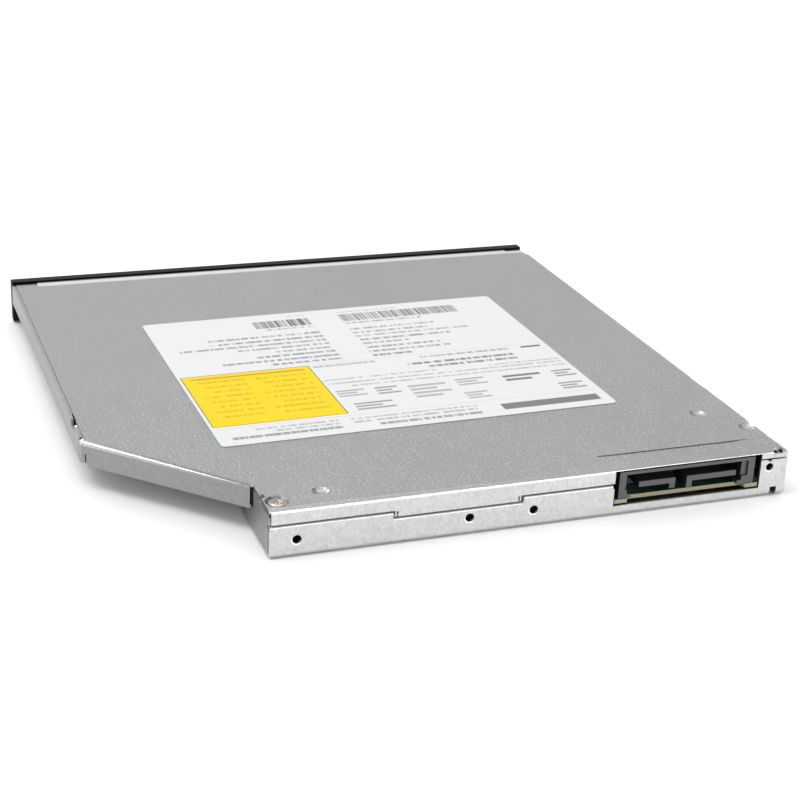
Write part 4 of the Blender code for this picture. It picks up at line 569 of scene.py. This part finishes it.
def flatCable():
    film = ribbonFilm()
    low, high = ribbon["levels"]
    mouth, split = ribbon["mouth"], ribbon["split"]
    bendSteps = [math.radians(-90 - 180 * step / 16) for step in range(17)]
    radius = (high - low) / 2
    turn = [(ribbon["bend"] + radius * math.cos(a), (low + high) / 2 + radius * math.sin(a)) for a in bendSteps]
    down = zip(ribbon["ramp"], (mouth, mouth - 0.15, low + 0.15, low))
    cableStrip("cableTail", [(ribbon["socket"], mouth), *down, (split, low)], film, "chassis")
    margin = ribbon["margin"]
    blend = ("chassis", "drawer", (0, 0, (low + margin) * mm), (0, 0, (high - margin) * mm))
    cableStrip("cableLoop", [(split, low), *turn, (ribbon["drawerEnd"], high)], film, blend)


# Spring that the rod squeezes against the drawer

spring = {"start": 29.95, "end": 39.35}


def rodSpring():
    bm = bmesh.new()
    bm.from_mesh(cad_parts["eject_spring"].data)
    bmesh.ops.remove_doubles(bm, verts=bm.verts, dist=weld["distance"])
    blend = ("drawer", "rod", (0, spring["start"] * mm, 0), (0, spring["end"] * mm, 0))
    newPiece("rodSpring", bm, steelFinish, blend, ["eject_spring"], 60.0)


# Printed label

printed = {
    "centre": (-0.5, 3.95),
    "size": (81.7, 65.6),
    "turn": 1.0,
    "corner": 1.0,
    "paper": (0.68, 0.685, 0.69),
    "ink": (0.050, 0.050, 0.055),
    "yellow": (0.86, 0.57, 0.0),
    "faint": (0.45, 0.31, 0.0),
    "yellowField": (12.6, 39.3, 3.2, 28.4),
    # rows of plain bars: low x, high x, middle y, height, darkness, share that is filled
    "rows": [
        (-17.0, -2.6, -26.6, 0.6, 0.35, 0.55),
        (4.4, 8.8, -26.4, 0.6, 0.3, 0.5),
        (4.4, 15.2, -19.3, 0.9, 0.5, 0.6),
        (-20.6, -2.6, -19.6, 0.9, 0.5, 0.6),
        (4.4, 29.4, -15.4, 1.0, 0.62, 0.62),
        (4.4, 29.6, -13.0, 1.0, 0.62, 0.62),
        (4.4, 37.1, -10.7, 1.0, 0.55, 0.62),
        (4.4, 24.6, -8.6, 1.0, 0.55, 0.62),
        (4.4, 16.9, -6.4, 1.0, 0.5, 0.6),
        (4.4, 21.6, -4.1, 1.0, 0.62, 0.62),
        (4.4, 29.6, -1.7, 1.0, 0.62, 0.62),
        (4.4, 19.9, 0.4, 1.0, 0.62, 0.62),
        (-22.3, -2.4, -15.9, 1.0, 0.55, 0.6),
        (-19.8, -2.4, -13.6, 1.0, 0.55, 0.6),
        (-28.7, -2.4, -11.6, 1.0, 0.45, 0.6),
        (-24.0, -2.4, -9.2, 1.0, 0.6, 0.65),
        (-13.4, -2.4, -6.9, 1.0, 0.5, 0.6),
        (-19.5, -2.4, -4.5, 1.0, 0.6, 0.62),
        (-20.9, -2.4, -2.2, 1.0, 0.6, 0.62),
        (-11.2, -2.4, 0.2, 1.0, 0.7, 0.65),
        (-1.7, 11.9, 3.7, 1.0, 0.42, 0.65),
        (-32.0, -11.8, 3.4, 1.0, 0.5, 0.6),
        (-32.0, -7.9, 6.6, 1.1, 0.75, 0.68),
        (-32.0, -11.8, 8.7, 1.1, 0.7, 0.68),
        (-12.6, 11.9, 11.2, 0.7, 0.38, 0.6),
        (-40.4, -24.3, 11.1, 0.7, 0.38, 0.6),
        (-40.4, 11.9, 12.9, 0.7, 0.4, 0.66),
        (-40.4, 7.2, 14.7, 0.7, 0.4, 0.66),
        (15.2, 31.6, 31.2, 0.8, 0.4, 0.62),
        (15.2, 28.0, 32.6, 0.8, 0.4, 0.62),
        (15.2, 37.0, 34.4, 1.1, 0.62, 0.7),
        (-13.7, 12.6, 30.9, 0.7, 0.4, 0.62),
        (-13.7, 12.6, 32.4, 0.8, 0.45, 0.62),
        (-13.4, 8.0, 34.3, 1.1, 0.6, 0.7),
    ],
    # solid bars: low x, high x, low y, high y, darkness
    "bars": [(-39.7, -35.1, 2.6, 3.5, 0.85), (-39.6, -18.4, 31.0, 33.8, 0.80)],
    # stacks of thin bars: low x, high x, low y, high y, number, darkness
    "stacks": [
        (-40.4, -35.8, 16.8, 20.8, 3, 0.65),
        (-33.0, -24.6, 17.0, 20.8, 2, 0.80),
        (-20.6, -14.2, 16.6, 20.6, 3, 0.50),
        (-11.8, -3.6, 17.4, 24.6, 4, 0.45),
        (-1.6, 3.2, 16.8, 21.0, 3, 0.60),
        (5.4, 11.4, 16.8, 20.6, 3, 0.50),
        (-39.8, -34.4, 23.4, 27.2, 3, 0.65),
        (1.8, 9.8, 23.6, 27.6, 3, 0.60),
        (-18.6, -13.6, 23.6, 27.4, 3, 0.50),
    ],
    # thin ruled lines: low x, high x, y
    "rules": [(-40.6, 12.0, 1.9), (-40.6, 39.0, 29.2)],
    # groups of upright strokes: low x, high x, low y, high y, seed
    "strokes": [(4.4, 17.4, -24.6, -20.4, 3.0), (-30.3, -2.6, -25.4, -21.0, 8.0)],
    # plain columns on the yellow field: low x, high x, first row, pitch, rows
    "columns": [(14.4, 25.0, 6.4, 2.5, 8), (27.2, 37.4, 6.4, 2.5, 8)],
}


def labelPaper():
    finish = Finish("labelPaper", printed["paper"], 0.42)
    finish.set("Specular IOR Level", 0.2)
    turn = math.radians(printed["turn"])
    middleX, middleY = printed["centre"]
    sheet = finish.node("ShaderNodeVectorRotate", {"rotation_type": "Z_AXIS"},
                        {"Vector": finish.place(), "Center": (middleX, middleY, 0), "Angle": -turn})
    x, y, z = finish.axes(sheet)

    def field(x0, x1, y0, y1, soft=0.08):
        awayX, awayY = (x0 + x1) / 2 - middleX, (y0 + y1) / 2 - middleY
        centreX = middleX + awayX * math.cos(turn) + awayY * math.sin(turn)
        centreY = middleY - awayX * math.sin(turn) + awayY * math.cos(turn)
        across = abs(x - centreX) - (x1 - x0) / 2
        along = abs(y - centreY) - (y1 - y0) / 2
        return 1 - across.atLeast(along).ramp(-soft, soft)

    def dashes(index, filled, pace=1.35):
        flow = finish.stretch(sheet, (pace, 0.0, 0.0), 0.0, (index * 7.3, index * 3.1, 0))
        return finish.noise(flow, 1.0, 3.0, 0.75).ramp(0.56 - filled * 0.22, 0.64 - filled * 0.22)

    marks = []
    for index, (x0, x1, middle, height, dark, filled) in enumerate(printed["rows"]):
        marks.append(field(x0, x1, middle - height / 2, middle + height / 2) * dashes(index, filled) * dark)
    for x0, x1, y0, y1, dark in printed["bars"]:
        marks.append(field(x0, x1, y0, y1) * dark)
    for x0, x1, y0, y1, count, dark in printed["stacks"]:
        pitch = (y1 - y0) / count
        for row in range(count):
            shorter = (x1 - x0) * 0.3 * (row % 2)
            marks.append(field(x0 + shorter, x1, y0 + pitch * (row + 0.2), y0 + pitch * (row + 0.75)) * dark)
    for x0, x1, level in printed["rules"]:
        marks.append(field(x0, x1, level - 0.06, level + 0.06) * 0.3)
    for x0, x1, y0, y1, seed in printed["strokes"]:
        marks.append(field(x0, x1, y0, y1) * dashes(seed, 0.5, 4.6) * 0.85)
    ink = marks[0]
    for mark in marks[1:]:
        ink = ink.atLeast(mark)

    fibres = finish.noise(sheet, 0.5, 3.0)
    paper = finish.mix(fibres * 0.5, printed["paper"], tuple(c * 0.96 for c in printed["paper"]))
    tone = finish.mix(ink, paper, printed["ink"])
    x0, x1, y0, y1 = printed["yellowField"]
    tone = finish.mix(field(x0 - 0.2, x1 + 0.2, y0 - 0.2, y1 + 0.2), tone, (0.16, 0.12, 0.01))
    tone = finish.mix(field(x0, x1, y0, y1), tone, printed["yellow"])
    faint = field(x0 + 1.4, x1 - 1.4, y0 + 1.2, y0 + 1.9)
    for start, end, first, pitch, rows in printed["columns"]:
        for row in range(rows):
            level = first + row * pitch
            line = field(start, end - (row % 3) * 1.1, level, level + 0.9)
            faint = faint.atLeast(line * dashes(row + start, 0.6) * 0.6)
    tone = finish.mix(faint, tone, printed["faint"])
    finish.set("Base Color", tone)
    finish.set("Roughness", (fibres - 0.5) * 0.1 - ink * 0.06 + 0.46)
    finish.bump(fibres, 0.15, 0.01)
    return finish.material


def labelPiece():
    low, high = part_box("label")
    width, depth = printed["size"]
    turn = Matrix.Rotation(math.radians(printed["turn"]), 4, "Z")
    centre = Vector((*printed["centre"], 0)) * mm
    bm = bmesh.new()
    corners = [(-0.5, -0.5), (0.5, -0.5), (0.5, 0.5), (-0.5, 0.5)]
    around = [turn @ Vector((a * width * mm, b * depth * mm, low.z)) + centre for a, b in corners]
    sheet = bm.faces.new([bm.verts.new(corner) for corner in around])
    lengthen(bm, sheet, (0, 0, high.z - low.z))
    upright = [e for e in bm.edges if abs(e.verts[0].co.z - e.verts[1].co.z) > 1e-6]
    corner = printed["corner"] * mm
    bmesh.ops.bevel(bm, geom=upright, offset=corner, segments=8, profile=0.5, affect="EDGES", material=-1)
    bmesh.ops.recalc_face_normals(bm, faces=bm.faces)
    newPiece("printedLabel", bm, labelPaper(), "chassis", ["label"])


# Studio

studio = {
    "world": 0.82,
    "mirrored": (0.42, 0.20, 0.55, 1.0),  # what metal mirrors: from and to this height, these levels
    "softbox": (0.62, 0.78, 0.0, 0.30),  # added to it overhead in the same way, which lights the folds
    "backdrop": (1.0, 1.0, 1.0),
    "floor": (0.93, 0.93, 0.93),
    "floorShades": ((0.92, 0.92, 0.92), (0.94, 0.94, 0.94)),
    "camera": (0.109858, 0.312099, 0.139243),
    "turn": (67.1465, -2.5068, 160.1945),
    "lens": 75.913,
    # lamp: place, aimed at, width, height, watts
    "lamps": {
        "overhead": ((0.40, 0.28, 1.60), (0.05, 0.05, 0.0), 2.0, 0.6, 10.5),
        "frontFill": ((-0.20, -1.10, 1.50), (-0.1, -0.5, 0.0), 1.2, 0.8, 4.0),
        "lowStrip": ((-0.28, 0.80, 0.0048), (0.0, 0.06, 0.0048), 0.9, 0.008, 4.6),  # under the level of the cover
        "frontCorner": ((0.42, -1.02, 0.50), (0.0, 0.0, 0.0), 0.35, 0.35, 1.6),
        "cornerGlint": ((0.82, 0.04, 1.17), (0.04, 0.04, 0.0), 0.30, 0.30, 2.0),
    },
}


def buildStudio():
    world = bpy.data.worlds.new("studioWorld")
    bpy.context.scene.world = world
    world.use_nodes = True
    sky = Nodes(world.node_tree)
    rays = ("Is Camera Ray", "Is Transmission Ray", "Is Glossy Ray")
    direct, through, glossy = [sky.node("ShaderNodeLightPath", {}, {}, ray) for ray in rays]
    height = sky.axes(sky.node("ShaderNodeTexCoord", {}, {}, "Generated"))[2]

    def levels(low, high, first, last):
        sockets = {"Value": height, "From Min": low, "From Max": high, "To Min": first, "To Max": last}
        return sky.node("ShaderNodeMapRange", {}, sockets)

    mirror = levels(*studio["mirrored"]) + levels(*studio["softbox"])
    light = sky.node("ShaderNodeMix", {}, {0: glossy, 2: studio["world"], 3: mirror})
    background = sky.tree.nodes["Background"]
    sky.feed(background.inputs["Color"], studio["backdrop"])
    level = sky.node("ShaderNodeMix", {}, {0: direct.atLeast(through), 2: light, 3: 1.0})
    sky.feed(background.inputs["Strength"], level)

    floorFinish = Finish("paleFloor", studio["floor"], 0.8)
    shade = floorFinish.noise(floorFinish.place(), 160.0, 2.0)
    floorFinish.set("Base Color", floorFinish.mix(shade, *studio["floorShades"]))
    bm = bmesh.new()
    bmesh.ops.create_grid(bm, x_segments=2, y_segments=2, size=3.0)
    bmesh.ops.translate(bm, verts=bm.verts, vec=(0, 0, -0.0001))
    mesh = bpy.data.meshes.new("floor")
    bm.to_mesh(mesh)
    bm.free()
    mesh.materials.append(floorFinish.material)
    floor = bpy.data.objects.new("floor", mesh)
    bpy.context.scene.collection.objects.link(floor)

    for name, (place, aim, width, height, watts) in studio["lamps"].items():
        data = bpy.data.lights.new(name, "AREA")
        data.shape = "RECTANGLE"
        data.size, data.size_y, data.energy = width, height, watts
        lamp = bpy.data.objects.new(name, data)
        bpy.context.scene.collection.objects.link(lamp)
        lamp.location = place
        lamp.rotation_euler = (Vector(aim) - Vector(place)).to_track_quat("-Z", "Y").to_euler()

    data = bpy.data.cameras.new("camera")
    data.lens, data.sensor_width = studio["lens"], 36.0
    camera = bpy.data.objects.new("camera", data)
    bpy.context.scene.collection.objects.link(camera)
    camera.location = studio["camera"]
    camera.rotation_euler = [math.radians(turn) for turn in studio["turn"]]
    bpy.context.scene.camera = camera
    bpy.context.scene.view_settings.view_transform = "Standard"
    print("studio ready")


# Assembly

sheetMetal = galvanisedSheet()
steelFinish = brightSteel()
nickel = nickelPlate()
bezelBlack = mouldedPlastic("bezelBlack", (0.002, 0.002, 0.0022), 0.42, 0.14, gloss=0.10)
trayGrey = mouldedPlastic("trayGrey", (0.030, 0.031, 0.033), 0.46, 0.22, 0.02)
ivory = mouldedPlastic("ivoryPlastic", (0.70, 0.66, 0.56), 0.45, 0.3)
clawWhite = mouldedPlastic("clawPlastic", (0.70, 0.70, 0.68), 0.4, 0.3)
leverIvory = mouldedPlastic("leverPlastic", (0.74, 0.72, 0.65), 0.42, 0.3)
print("finishes ready")

softened("top_cover", "chassis", sheetMetal, 0.10)
softened("lower_case", "chassis", sheetMetal, 0.07)
softened("front_bezel", "drawer", bezelBlack, 0.12, 3)
softened("cover_screw", "chassis", nickel, 0.05)
softened("sata_connector", "chassis", connectorPlastic(), 0.07)
labelPiece()
seamBacking()
flatCable()
print("case dressed")

paint(nickel, "board_screw_1", "board_screw_2")
paint(circuitBoard(), "main_board", "front_board")
paint(steelFinish, "guide_left", "guide_right", "rail_left", "rail_right", "guide_shaft_main", "guide_shaft_sub",
      "latch_post", "solenoid_plunger", "eject_rod", "traverse_plate", "actuator_yoke")
paint(threadedSteel(), "lead_screw")
paint(motorSteel(), "sled_motor", "spindle_rotor")
paint(copperWinding(), "spindle_stator")
paint(coilWrap(), "eject_solenoid")
paint(blackSheet(), "tray_shield")
paint(softRubber(), "turntable_pad", "damper_1", "damper_2", "damper_3")
paint(ivory, "ribbon_socket", "drive_nut")
paint(leverIvory, "latch_lever")
paint(clawWhite, "hub_claw_1", "hub_claw_2", "hub_claw_3")
paint(trayGrey, "lens_holder")
paint(bezelBlack, "eject_button", "eject_switch")
paint(clearPlastic(), "status_lens")
paint(lensGlass(), "objective_lens")
softened("tray", "drawer", trayGrey, 0.12)
softened("mechanism_cover", "drawer", blackSheet(), 0.05)
softened("pickup_sled", "sled", castAlloy(), 0.07)
softened("turntable_hub", "turntable", trayGrey, 0.08)
rodSpring()
print("mechanism dressed")

buildStudio()
